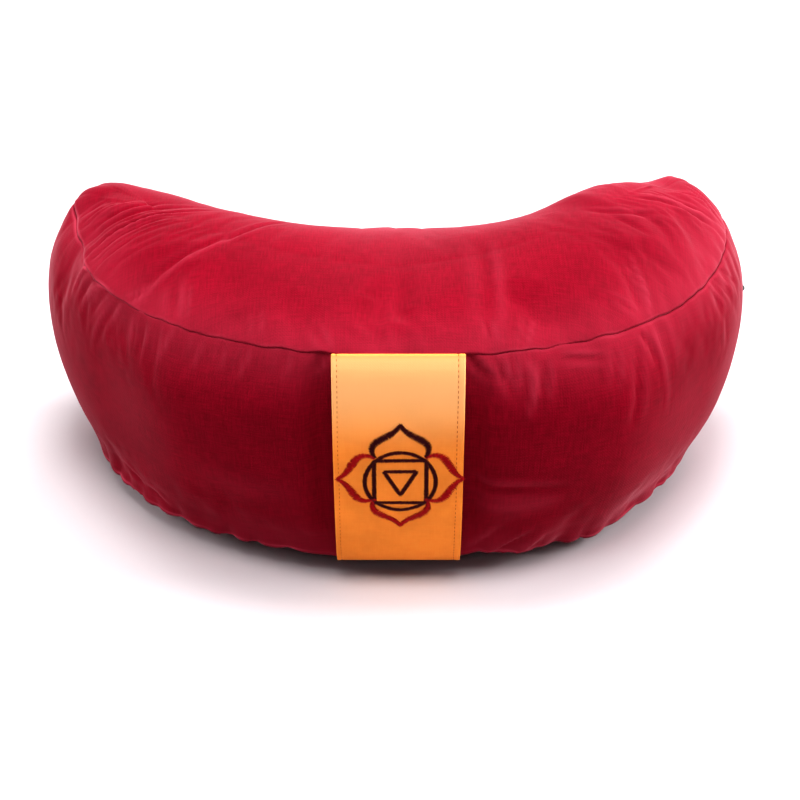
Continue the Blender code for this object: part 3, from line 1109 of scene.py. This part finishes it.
        def unroll(x: float, z: float) -> tuple[float, float]:
            """Turn a band point seen from the front into its way round the seam, in mm."""
            ring = points[np.argmin(abs(grid.rings - np.interp(z, (12.0, 150.0), (1.95, 1.05))))][front, 0]
            seen = slice(int(np.argmin(ring)), int(np.argmax(ring)) + 1)
            rising = np.maximum.accumulate(ring[seen])
            return float(np.interp(x * MM, rising, travel[seen])) / MM, z

        unrolled = np.stack(
            (np.broadcast_to(grid.travel, points.shape[:2])[band], points[band][:, :, 2]), axis=2
        )
        rolled_out = [
            Crease(
                unroll(*crease.start),
                unroll(*crease.middle),
                unroll(*crease.end),
                crease.half_width,
                crease.depth,
            )
            for crease in BAND_CREASES
        ]
        self._press(rolled_out, unrolled, height, wear_and_painted_light, band)
        held = 1.0 - 0.45 * np.exp(-((grid.profile / (2.5 * MM)) ** 2))
        return height * held, np.clip(wear_and_painted_light, 0.0, 1.0)

    @staticmethod
    def _press(
        creases: tuple[Crease, ...] | list[Crease],
        flat: np.ndarray,
        height: np.ndarray,
        wear_and_painted_light: np.ndarray,
        rows: np.ndarray,
    ) -> None:
        """Press creases into one panel.

        Args:
            creases: the creases, in the panel's flat coordinates.
            flat: the panel's points in those coordinates, in metres.
            height: the heights to add to.
            wear_and_painted_light: the painted highlight, with some rubbing, to add to.
            rows: which rings belong to the panel.
        """
        steps = np.linspace(0.0, 1.0, 9)
        pressed = np.zeros(flat.shape[:2])
        rubbed = np.zeros(flat.shape[:2])
        for crease in creases:
            start, middle, end = (np.array(point) * MM for point in (crease.start, crease.middle, crease.end))
            pull = 2.0 * middle - 0.5 * (start + end)
            curve = (
                np.outer((1 - steps) ** 2, start)
                + np.outer(2 * steps * (1 - steps), pull)
                + np.outer(steps**2, end)
            )
            width = crease.half_width * MM
            near = np.full(flat.shape[:2], np.inf)
            side = np.zeros(flat.shape[:2])
            along = np.zeros(flat.shape[:2])
            for index in range(len(curve) - 1):
                line = curve[index + 1] - curve[index]
                offset = flat - curve[index]
                t = np.clip((offset @ line) / (line @ line), 0.0, 1.0)
                gap = offset - t[..., None] * line
                distance = np.linalg.norm(gap, axis=2)
                closer = distance < near
                near = np.where(closer, distance, near)
                turn = line[0] * gap[..., 1] - line[1] * gap[..., 0]
                side = np.where(closer, np.sign(turn), side)
                along = np.where(closer, (index + t) / (len(curve) - 1), along)
            spread = near * side / width
            fade = np.sin(math.pi * np.clip(along, 0.02, 0.98)) ** 0.9
            groove = np.exp(-(np.abs(spread) ** 1.5))
            shoulders = 0.50 * np.exp(-(((spread - 1.7) / 0.9) ** 2))
            shoulders += 0.25 * np.exp(-(((spread + 1.9) / 1.1) ** 2))
            pressed -= crease.depth * MM * fade * (groove - shoulders)
            # Painted highlight, with some rubbing, along each crease's raised edges.
            edge = groove if crease.depth < 0 else shoulders
            rubbed += 0.35 * fade * edge * min(1.0, abs(crease.depth))
        height[rows] += pressed
        wear_and_painted_light[rows] += rubbed


# ------------------------------------------------------------------------------- strap


class StitchRun(Enum):
    """Which way stitches lie on their line, as a turn about the cloth's normal."""

    ALONG = math.pi / 2
    ACROSS = 0.0


@dataclass
class Stitches:
    """A row of sewn stitches, spread along lines on the cloth by Geometry Nodes."""

    name: str
    thread: Thread
    run: StitchRun
    pitch: float
    thickness: float
    slot: str
    length_jitter: float = 0.12
    turn_jitter: float = 0.10
    seed: int = 7

    def tree(self, material: bpy.types.Material) -> bpy.types.GeometryNodeTree:
        """Build the node tree: resample the lines, and lay one thread bead on each point.

        Args:
            material: the thread's material; not used.

        Returns:
            The tree, with named inputs for its sizes.
        """
        tree = bpy.data.node_groups.new(f"{self.name} stitches", "GeometryNodeTree")
        sockets = tree.interface
        sockets.new_socket("Geometry", in_out="INPUT", socket_type="NodeSocketGeometry")
        for label in ("Pitch", "Thickness", "Turn", "Length Jitter", "Turn Jitter"):
            sockets.new_socket(label, in_out="INPUT", socket_type="NodeSocketFloat")
        sockets.new_socket("Seed", in_out="INPUT", socket_type="NodeSocketInt")
        sockets.new_socket("Material", in_out="INPUT", socket_type="NodeSocketMaterial")
        sockets.new_socket("Geometry", in_out="OUTPUT", socket_type="NodeSocketGeometry")
        given = add_node(tree, "NodeGroupInput")
        lines = add_node(tree, "GeometryNodeMeshToCurve", inputs={0: given.outputs["Geometry"]})
        spread = add_node(
            tree,
            "GeometryNodeResampleCurve",
            {"mode": "LENGTH"},
            {"Curve": lines.outputs[0], "Length": given.outputs["Pitch"]},
        )
        facing = add_node(
            tree, "GeometryNodeInputNamedAttribute", {"data_type": "FLOAT_VECTOR"}, {0: "facing"}
        )
        length = add_node(tree, "GeometryNodeInputNamedAttribute", {"data_type": "FLOAT"}, {0: "length"})
        tangent = add_node(tree, "GeometryNodeInputTangent")
        across = add_node(
            tree,
            "ShaderNodeVectorMath",
            {"operation": "CROSS_PRODUCT"},
            {0: facing.outputs[0], 1: tangent.outputs[0]},
        )
        axes = add_node(
            tree,
            "FunctionNodeAxesToRotation",
            {"primary_axis": "Z", "secondary_axis": "X"},
            {0: facing.outputs[0], 1: across.outputs[0]},
        )
        limit = add_node(
            tree, "ShaderNodeMath", {"operation": "MULTIPLY"}, {0: given.outputs["Turn Jitter"], 1: -1.0}
        )
        wobble = add_node(
            tree,
            "FunctionNodeRandomValue",
            inputs={2: limit.outputs[0], 3: given.outputs["Turn Jitter"], "Seed": given.outputs["Seed"]},
        )
        turn = add_node(
            tree,
            "ShaderNodeMath",
            {"operation": "ADD"},
            {0: given.outputs["Turn"], 1: wobble.outputs[1]},
        )
        spin = add_node(
            tree, "FunctionNodeAxisAngleToRotation", inputs={0: (0.0, 0.0, 1.0), 1: turn.outputs[0]}
        )
        pose = add_node(
            tree,
            "FunctionNodeRotateRotation",
            {"rotation_space": "LOCAL"},
            {0: axes.outputs[0], 1: spin.outputs[0]},
        )
        short = add_node(
            tree, "ShaderNodeMath", {"operation": "SUBTRACT"}, {0: 1.0, 1: given.outputs["Length Jitter"]}
        )
        vary = add_node(
            tree,
            "FunctionNodeRandomValue",
            inputs={2: short.outputs[0], 3: 1.0, "Seed": given.outputs["Seed"]},
        )
        reach = add_node(
            tree, "ShaderNodeMath", {"operation": "MULTIPLY"}, {0: length.outputs[0], 1: vary.outputs[1]}
        )
        size = add_node(
            tree,
            "ShaderNodeCombineXYZ",
            inputs={
                0: reach.outputs[0],
                1: given.outputs["Thickness"],
                2: given.outputs["Thickness"],
            },
        )
        bead = add_node(
            tree, "GeometryNodeMeshUVSphere", inputs={"Segments": 6, "Rings": 5, "Radius": 0.5}
        )
        laid = add_node(
            tree,
            "GeometryNodeInstanceOnPoints",
            inputs={
                "Points": spread.outputs[0],
                "Instance": bead.outputs[0],
                "Rotation": pose.outputs[0],
                "Scale": size.outputs[0],
            },
        )
        real = add_node(tree, "GeometryNodeRealizeInstances", inputs={0: laid.outputs[0]})
        dressed = add_node(
            tree,
            "GeometryNodeSetMaterial",
            inputs={"Geometry": real.outputs[0], "Material": given.outputs["Material"]},
        )
        add_node(tree, "NodeGroupOutput", inputs={0: dressed.outputs[0]})
        return tree

    def build(
        self, lines: list[np.ndarray], facings: list[np.ndarray], lengths: list[np.ndarray]
    ) -> bpy.types.Object:
        """Sew the stitches.

        Args:
            lines: each line's points, on the cloth.
            facings: the cloth's normal at each of those points.
            lengths: how long a stitch is at each of those points.

        Returns:
            The stitches, as one plain mesh.
        """
        material = self.thread.material()
        edges = []
        start = 0
        for line in lines:
            edges += [(start + step, start + step + 1) for step in range(len(line) - 1)]
            start += len(line)
        guide = bpy.data.meshes.new(f"{self.name} guide")
        guide.from_pydata(np.concatenate(lines).tolist(), edges, [])
        facing = guide.attributes.new("facing", "FLOAT_VECTOR", "POINT")
        facing.data.foreach_set("vector", np.concatenate(facings).reshape(-1))
        length = guide.attributes.new("length", "FLOAT", "POINT")
        length.data.foreach_set("value", np.concatenate(lengths))
        holder = bpy.data.objects.new(f"{self.name} guide", guide)
        bpy.context.scene.collection.objects.link(holder)
        tree = self.tree(material)
        sewing = holder.modifiers.new("stitches", "NODES")
        sewing.node_group = tree
        values = {
            "Pitch": self.pitch,
            "Thickness": self.thickness,
            "Turn": self.run.value,
            "Length Jitter": self.length_jitter,
            "Turn Jitter": self.turn_jitter,
            "Seed": self.seed,
            "Material": material,
        }
        for item in tree.interface.items_tree:
            if item.in_out == "INPUT" and item.name in values:
                sewing[item.identifier] = values[item.name]
        shown = holder.evaluated_get(bpy.context.evaluated_depsgraph_get())
        mesh = bpy.data.meshes.new_from_object(shown)
        bpy.data.objects.remove(holder, do_unlink=True)
        mesh.name = self.name
        return new_piece(self.name, mesh, material)


@dataclass(frozen=True)
class StrapFold:
    """A soft fold across the strap: its place and slant as shares of the length, and mm."""

    place: float
    slant: float
    half_width: float
    rise: float


STRAP_FOLDS = (
    StrapFold(place=0.30, slant=-0.04, half_width=9.0, rise=0.7),
    StrapFold(place=0.66, slant=0.02, half_width=1.6, rise=-0.35),
    StrapFold(place=0.69, slant=0.02, half_width=3.0, rise=0.35),
    StrapFold(place=0.88, slant=-0.03, half_width=7.0, rise=0.5),
)


@dataclass
class CarryStrap:
    """The carry strap: a hemmed strip of orange cotton between the two seams."""

    taper: float = 1.6 * MM
    thickness: float = 1.3 * MM
    edge_roll: float = 0.12 * MM
    stitch_dip: float = 0.28 * MM
    left_stitch: float = 2.8 * MM
    right_stitch: float = 3.8 * MM
    across_steps: int = 64
    down_steps: int = 120
    motif_place: float = 0.521
    motif_shift: float = 1.0 * MM
    # Where the strap's painted light, paler towards its top, starts to fade and where it ends, as shares of
    # the length.
    top_light_start: float = 0.13
    top_light_end: float = 0.43

    def __post_init__(self) -> None:
        """Read the strap's run off the frame's own strap."""
        low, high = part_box("carry_strap")
        self.middle = (low[0] + high[0]) / 2
        self.width = high[0] - low[0]
        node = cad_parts["carry_strap"]
        tree = BVHTree.FromPolygons(
            [vertex.co for vertex in node.data.vertices],
            [tuple(face.vertices) for face in node.data.polygons],
        )
        heights = np.linspace(high[2] - 0.4 * MM, low[2] + 0.4 * MM, 40)
        outer = []
        for height in heights:
            hit = tree.ray_cast(Vector((self.middle, -1.0, height)), Vector((0.0, 1.0, 0.0)))[0]
            outer.append(hit.y)
        run = np.column_stack((np.array(outer), heights))
        smooth = run.copy()
        for _ in range(3):
            smooth[1:-1] = (smooth[:-2] + 2.0 * smooth[1:-1] + smooth[2:]) / 4.0
        tucked = smooth[0] + np.array((1.4 * MM, -0.1 * MM))
        self.path = np.concatenate((tucked[None], smooth))
        steps = np.linalg.norm(np.diff(self.path, axis=0), axis=1)
        self.reach = np.concatenate(((0.0,), np.cumsum(steps)))
        self.length = float(self.reach[-1])

    def place(self, across: np.ndarray, along: np.ndarray, lift: float | np.ndarray) -> np.ndarray:
        """Find points on the strap's outer face.

        Args:
            across: metres from the strap's middle, to the right.
            along: metres down the strap from its top.
            lift: metres outwards from the face.

        Returns:
            The points, one row each.
        """
        y = np.interp(along, self.reach, self.path[:, 0])
        z = np.interp(along, self.reach, self.path[:, 1])
        outward = self.facing(across, along)
        narrow = 1.0 - self.taper / self.width * along / self.length
        sag = 0.35 * MM * np.sin(along / 0.017 + 1.0) * np.sin(across / 0.019 + 0.6)
        for fold in STRAP_FOLDS:
            gap = along - (fold.place + fold.slant * across / self.width) * self.length
            sag = sag + fold.rise * MM * np.exp(-((gap / (fold.half_width * MM)) ** 2))
        ends = np.sin(math.pi * np.clip(along / self.length, 0.0, 1.0))
        base = np.column_stack((self.middle + across * narrow, y, z))
        return base + outward * (lift + sag * ends)[:, None]

    def facing(self, across: np.ndarray, along: np.ndarray) -> np.ndarray:
        """Give the strap's outward normals at those places."""
        step = 1.5 * MM
        ahead = np.clip(along + step, 0.0, self.length)
        behind = np.clip(along - step, 0.0, self.length)
        dy = np.interp(ahead, self.reach, self.path[:, 0]) - np.interp(behind, self.reach, self.path[:, 0])
        dz = np.interp(ahead, self.reach, self.path[:, 1]) - np.interp(behind, self.reach, self.path[:, 1])
        size = np.hypot(dy, dz)
        return np.column_stack((np.zeros_like(across), dz / size, -dy / size))

    def relief(self, across: np.ndarray) -> np.ndarray:
        """Give the outer face's relief: edges that roll out, and a dip at each stitch line."""
        half = self.width / 2
        left = across + half
        right = half - across
        relief = np.zeros_like(across)
        for inset, stitch in ((left, self.left_stitch), (right, self.right_stitch)):
            relief += self.edge_roll * np.exp(-(((inset - stitch / 2) / (stitch / 2)) ** 2))
            relief -= self.stitch_dip * np.exp(-(((inset - stitch) / (0.45 * MM)) ** 2))
        return relief

    def build(self) -> list[bpy.types.Object]:
        """Build the strap, its topstitching and its embroidery.

        Returns:
            The strap and the pieces on it.
        """
        half = self.width / 2
        even = np.linspace(-math.pi / 2, math.pi / 2, self.across_steps + 1)
        across = half * (0.55 * np.sin(even) + 0.45 * even / (math.pi / 2))
        along = np.linspace(0.0, self.length, self.down_steps + 1)
        vertices = []
        faces = []
        loop = 2 * len(across)
        for distance in along:
            down = np.full_like(across, distance)
            slim = np.clip((half - np.abs(across)) / (0.6 * MM), 0.0, 1.0) ** 0.5
            body = self.thickness * (0.35 + 0.65 * slim)
            outer = self.place(across, down, self.relief(across) - 0.5 * self.thickness + 0.5 * body)
            inner = self.place(across, down, -0.5 * self.thickness - 0.5 * body)
            vertices += outer.tolist() + inner[::-1].tolist()
        for row in range(len(along) - 1):
            for step in range(loop):
                after = (step + 1) % loop
                upper, lower = row * loop, (row + 1) * loop
                faces.append((upper + step, lower + step, lower + after, upper + after))
        last = (len(along) - 1) * loop
        for step in range(len(across) - 1):
            mate = loop - 1 - step
            faces.append((step, step + 1, mate - 1, mate))
            faces.append((last + mate, last + mate - 1, last + step + 1, last + step))
        mesh = bpy.data.meshes.new("carry_strap_cloth")
        mesh.from_pydata(vertices, [], faces)
        builder = bmesh.new()
        builder.from_mesh(mesh)
        bmesh.ops.recalc_face_normals(builder, faces=builder.faces)
        layer = builder.loops.layers.uv.new("weave")
        for face in builder.faces:
            for corner in face.loops:
                step = corner.vert.index % loop
                row = corner.vert.index // loop
                spot = across[step] if step < len(across) else across[loop - 1 - step]
                corner[layer].uv = (spot, along[row])
        builder.to_mesh(mesh)
        builder.free()
        # Painted light: the strap's upper part is painted paler, fading out further down.
        share = np.clip((self.top_light_end - along / self.length) / (self.top_light_end - self.top_light_start), 0.0, 1.0)
        share = share * share * (3.0 - 2.0 * share) * np.clip(along / (4.0 * MM), 0.0, 1.0)
        top_lit = np.repeat(share, loop)
        mesh.attributes.new("wear_and_painted_light", "FLOAT", "POINT").data.foreach_set("value", top_lit)
        strap = new_piece("carry_strap_cloth", mesh, ORANGE_COTTON.material())
        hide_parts("carry_strap")
        pieces = [self._topstitch(), *self._embroidery()]
        LOG.info("strap cut to %.1f x %.1f mm", self.width / MM, self.length / MM)
        return [strap, *pieces]

    def _topstitch(self) -> bpy.types.Object:
        """Sew the two rows of topstitching near the long edges."""
        along = np.linspace(1.0 * MM, self.length - 1.0 * MM, 90)
        lines = []
        facings = []
        for spot in (-self.width / 2 + self.left_stitch, self.width / 2 - self.right_stitch):
            across = np.full_like(along, spot) + 0.15 * MM * np.sin(along / 0.011)
            lines.append(self.place(across, along, self.relief(across)))
            facings.append(self.facing(across, along))
        row = Stitches(
            name="strap_topstitch",
            thread=STRAP_THREAD,
            run=StitchRun.ALONG,
            pitch=2.9 * MM,
            thickness=0.42 * MM,
            slot="strap_cotton",
            turn_jitter=0.04,
        )
        lengths = [np.full(len(line), 2.2 * MM) for line in lines]
        return row.build(lines, facings, lengths)

    def _embroidery(self) -> list[bpy.types.Object]:
        """Embroider the lotus: four petals, a ring, and a square that holds a triangle."""
        lotus = Lotus()
        pieces = []
        for name, thread, outlines in (
            ("lotus_inner_stitches", MAROON_RAYON, lotus.dark_lines()),
            ("lotus_petal_stitches", RED_RAYON, lotus.red_lines()),
        ):
            lines = []
            facings = []
            lengths = []
            for outline, width in outlines:
                across = outline[:, 0] + self.motif_shift
                along = self.motif_place * self.length - outline[:, 1]
                lines.append(self.place(across, along, 0.12 * MM))
                facings.append(self.facing(across, along))
                lengths.append(width)
            satin = Stitches(
                name=name,
                thread=thread,
                run=StitchRun.ACROSS,
                pitch=0.42 * MM,
                thickness=0.55 * MM,
                slot="strap_cotton",
                length_jitter=0.24,
                turn_jitter=0.18,
            )
            pieces.append(satin.build(lines, facings, lengths))
        return pieces


@dataclass
class Lotus:
    """A four-petalled lotus round a ring and a square, a traditional figure, in plain lines.

    Outlines are in metres from the middle, +Y up the strap, each with its line's width.
    """

    ring_radius: float = 19.6 * MM
    square_half: float = 14.4 * MM
    petal_base: float = 14.0 * MM
    petal_belly: float = 20.5 * MM
    tip: float = 35.0 * MM
    low_tip: float = 34.5 * MM
    core_drop: float = 2.4 * MM
    thin: float = 3.1 * MM
    bold: float = 5.8 * MM

    def _petal(self, turns: int, tip: float) -> tuple[np.ndarray, np.ndarray]:
        """Draw one petal's ogee outline.

        Args:
            turns: quarter turns clockwise from the top.
            tip: the tip's distance from the middle.

        Returns:
            The outline's points, and the line's width at each.
        """
        t = np.linspace(0.0, 1.0, 40)[:, None]
        start = np.array((-self.petal_base, self.petal_base))
        first = np.array((-self.petal_belly, self.petal_base + 0.62 * (tip - self.petal_base)))
        second = np.array((-0.22 * self.petal_belly, self.petal_base + 0.52 * (tip - self.petal_base)))
        end = np.array((0.0, tip))
        left = (
            (1 - t) ** 3 * start + 3 * t * (1 - t) ** 2 * first + 3 * t * t * (1 - t) * second + t**3 * end
        )
        outline = np.concatenate((left, left[-2::-1] * (-1.0, 1.0)))
        width = self.thin + (self.bold - self.thin) * np.sin(math.pi * t[:, 0]) ** 1.5
        width = np.concatenate((width, width[-2::-1]))
        angle = -turns * math.pi / 2
        spin = np.array(((math.cos(angle), math.sin(angle)), (-math.sin(angle), math.cos(angle))))
        return outline @ spin, width

    def _closed(self, corners: list[tuple[float, float]]) -> tuple[np.ndarray, np.ndarray]:
        """Draw a closed line through corners, with points along its sides."""
        ends = np.array([*corners, corners[0]])
        sides = [np.linspace(a, b, 12)[:-1] for a, b in zip(ends[:-1], ends[1:])]
        line = np.concatenate((*sides, ends[-1:]))
        return line, np.full(len(line), self.thin)

    def dark_lines(self) -> list[tuple[np.ndarray, np.ndarray]]:
        """Give the maroon lines: the upper petal, the ring, the square and the triangle."""
        angle = np.linspace(0.0, 2 * math.pi, 90)
        ring = self.ring_radius * np.column_stack((np.sin(angle), np.cos(angle)))
        half = self.square_half
        point = 0.62 * half
        core = [
            (ring, np.full(len(ring), self.thin)),
            self._closed([(-half, half), (half, half), (half, -half), (-half, -half)]),
            self._closed([(-point, 0.8 * point), (point, 0.8 * point), (0.0, -point)]),
        ]
        drop = np.array((0.0, self.core_drop))
        return [self._petal(0, self.tip), *((line - drop, width) for line, width in core)]

    def red_lines(self) -> list[tuple[np.ndarray, np.ndarray]]:
        """Give the red lines: the side petals and the lower one."""
        return [self._petal(1, self.tip), self._petal(2, self.low_tip), self._petal(3, self.tip)]


# ------------------------------------------------------------------------------ studio


@dataclass
class Studio:
    """A plain pale floor, soft lamps and the camera."""

    camera_distance: float = 1.200
    camera_height_angle: float = math.radians(29.5)
    target: tuple[float, float, float] = (0.0012, 0.0, 0.0564)
    lens: float = 89.55
    sensor: float = 36.0

    def build(self) -> None:
        """Set the camera, the lamps, the floor and the backdrop's light."""
        self._camera()
        self._floor()
        self._lamp("top softbox", (0.0, 0.18, 1.5), (0.0, 0.0, 0.1), (0.8, 0.5), 12.3)
        self._lamp("top front softbox", (0.0, -0.45, 1.5), (0.0, 0.0, 0.1), (0.9, 0.5), 12.0)
        self._lamp("back softbox", (0.7, 1.6, 1.0), (0.0, 0.0, 0.1), (1.6, 0.7), 17.0)
        self._lamp("back left softbox", (-0.9, 1.5, 1.0), (0.0, 0.0, 0.1), (1.2, 0.7), 4.2)
        self._lamp("left softbox", (-1.4, 0.1, 0.75), (0.0, 0.0, 0.08), (0.9, 0.6), 10.5)
        self._lamp("right softbox", (1.4, 0.1, 0.75), (0.0, 0.0, 0.08), (0.9, 0.6), 19.5)
        self._lamp("front softbox", (0.0, -1.5, 0.95), (0.0, 0.0, 0.1), (1.2, 0.5), 2.8)
        world = bpy.data.worlds.new("pale surround")
        world.use_nodes = True
        surround = world.node_tree.nodes["Background"]
        surround.inputs["Color"].default_value = linear("FFFFFF")
        surround.inputs["Strength"].default_value = 0.01
        bpy.context.scene.world = world
        bpy.context.scene.view_settings.view_transform = "Standard"
        bpy.context.scene.view_settings.look = "High Contrast"

    def _camera(self) -> None:
        """Stand the camera where it looks down at the strap side."""
        data = bpy.data.cameras.new("camera")
        data.lens = self.lens
        data.sensor_width = self.sensor
        camera = bpy.data.objects.new("camera", data)
        bpy.context.scene.collection.objects.link(camera)
        back = Vector((0.0, -math.cos(self.camera_height_angle), math.sin(self.camera_height_angle)))
        camera.location = Vector(self.target) + back * self.camera_distance
        camera.rotation_euler = (math.pi / 2 - self.camera_height_angle, 0.0, 0.0)
        bpy.context.scene.camera = camera

    def _floor(self) -> None:
        """Lay the floor, which the lamps bleach to a plain white sweep."""
        builder = bmesh.new()
        bmesh.ops.create_grid(builder, x_segments=2, y_segments=2, size=6.0)
        mesh = bpy.data.meshes.new("floor")
        builder.to_mesh(mesh)
        builder.free()
        floor = bpy.data.objects.new("floor", mesh)
        bpy.context.scene.collection.objects.link(floor)
        material, _, shader = new_material("matt white paper")
        shader.inputs["Base Color"].default_value = linear("D0C9CC")
        shader.inputs["Roughness"].default_value = 0.9
        mesh.materials.append(material)

    @staticmethod
    def _lamp(
        name: str,
        place: tuple[float, float, float],
        target: tuple[float, float, float],
        size: tuple[float, float],
        watts: float,
    ) -> None:
        """Hang one soft rectangular lamp.

        Args:
            name: the lamp's name.
            place: where it hangs.
            target: what it points at.
            size: its width and height.
            watts: its power.
        """
        data = bpy.data.lights.new(name, "AREA")
        data.shape = "RECTANGLE"
        data.size, data.size_y = size
        data.energy = watts
        lamp = bpy.data.objects.new(name, data)
        lamp.location = place
        lamp.rotation_euler = (Vector(target) - Vector(place)).to_track_quat("-Z", "Y").to_euler()
        bpy.context.scene.collection.objects.link(lamp)


def sew_top_seam(cover: Cover) -> bpy.types.Object:
    """Sew the lock stitches that show between the top panel and the band.

    Args:
        cover: the built cover.

    Returns:
        The stitches.
    """
    ring = int(np.argmin(abs(cover.grid.rings - 1.0)))
    line = cover.points[ring]
    above = cover.normals[ring - 6] + cover.normals[ring + 6]
    above /= np.linalg.norm(above, axis=1, keepdims=True)
    closed = np.append(np.arange(len(line)), 0)
    row = Stitches(
        name="top_seam_stitches",
        thread=SEAM_THREAD,
        run=StitchRun.ALONG,
        pitch=3.3 * MM,
        thickness=0.7 * MM,
        slot="cover_cotton",
        turn_jitter=0.12,
        seed=11,
    )
    lifted = line + above * 0.25 * MM
    return row.build([lifted[closed]], [above[closed]], [np.full(len(closed), 2.1 * MM)])


def sew_zip(cover: Cover) -> bpy.types.Object:
    """Sew the two rows of stitches that hold the closed zip in the band.

    Args:
        cover: the built cover.

    Returns:
        The stitches.
    """
    grid = cover.grid
    band = np.flatnonzero(grid.panel == Panel.BAND.value)[::-1]
    stations = np.flatnonzero(cover.zipped(grid) > 0.5)
    lines = []
    facings = []
    for height in (cover.zip_height - cover.zip_fold, cover.zip_height + cover.zip_fold):
        line = np.zeros((len(stations), 3))
        facing = np.zeros((len(stations), 3))
        for row, station in enumerate(stations):
            rising = cover.points[band, station, 2]
            for axis in range(3):
                line[row, axis] = np.interp(height, rising, cover.points[band, station, axis])
                facing[row, axis] = np.interp(height, rising, cover.normals[band, station, axis])
        facing /= np.linalg.norm(facing, axis=1, keepdims=True)
        lines.append(line + facing * 0.2 * MM)
        facings.append(facing)
    row_of_stitches = Stitches(
        name="zip_stitches",
        thread=SEAM_THREAD,
        run=StitchRun.ALONG,
        pitch=3.3 * MM,
        thickness=0.6 * MM,
        slot="cover_cotton",
        turn_jitter=0.12,
        seed=17,
    )
    return row_of_stitches.build(lines, facings, [np.full(len(line), 2.2 * MM) for line in lines])


def main() -> None:
    """Build the studio and the pieces in order, and report each of them."""
    logging.basicConfig(level=logging.INFO, format="%(name)s: %(message)s")
    Studio().build()
    shape = Cover()
    cover = shape.build()
    sew_top_seam(shape)
    sew_zip(shape)
    carry = CarryStrap()
    strap, *on_strap = carry.build()
    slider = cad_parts["zip_slider"]
    slider.data.materials.clear()
    slider.data.materials.append(BLACK_ZINC.material())


if __name__ == "__main__":
    main()
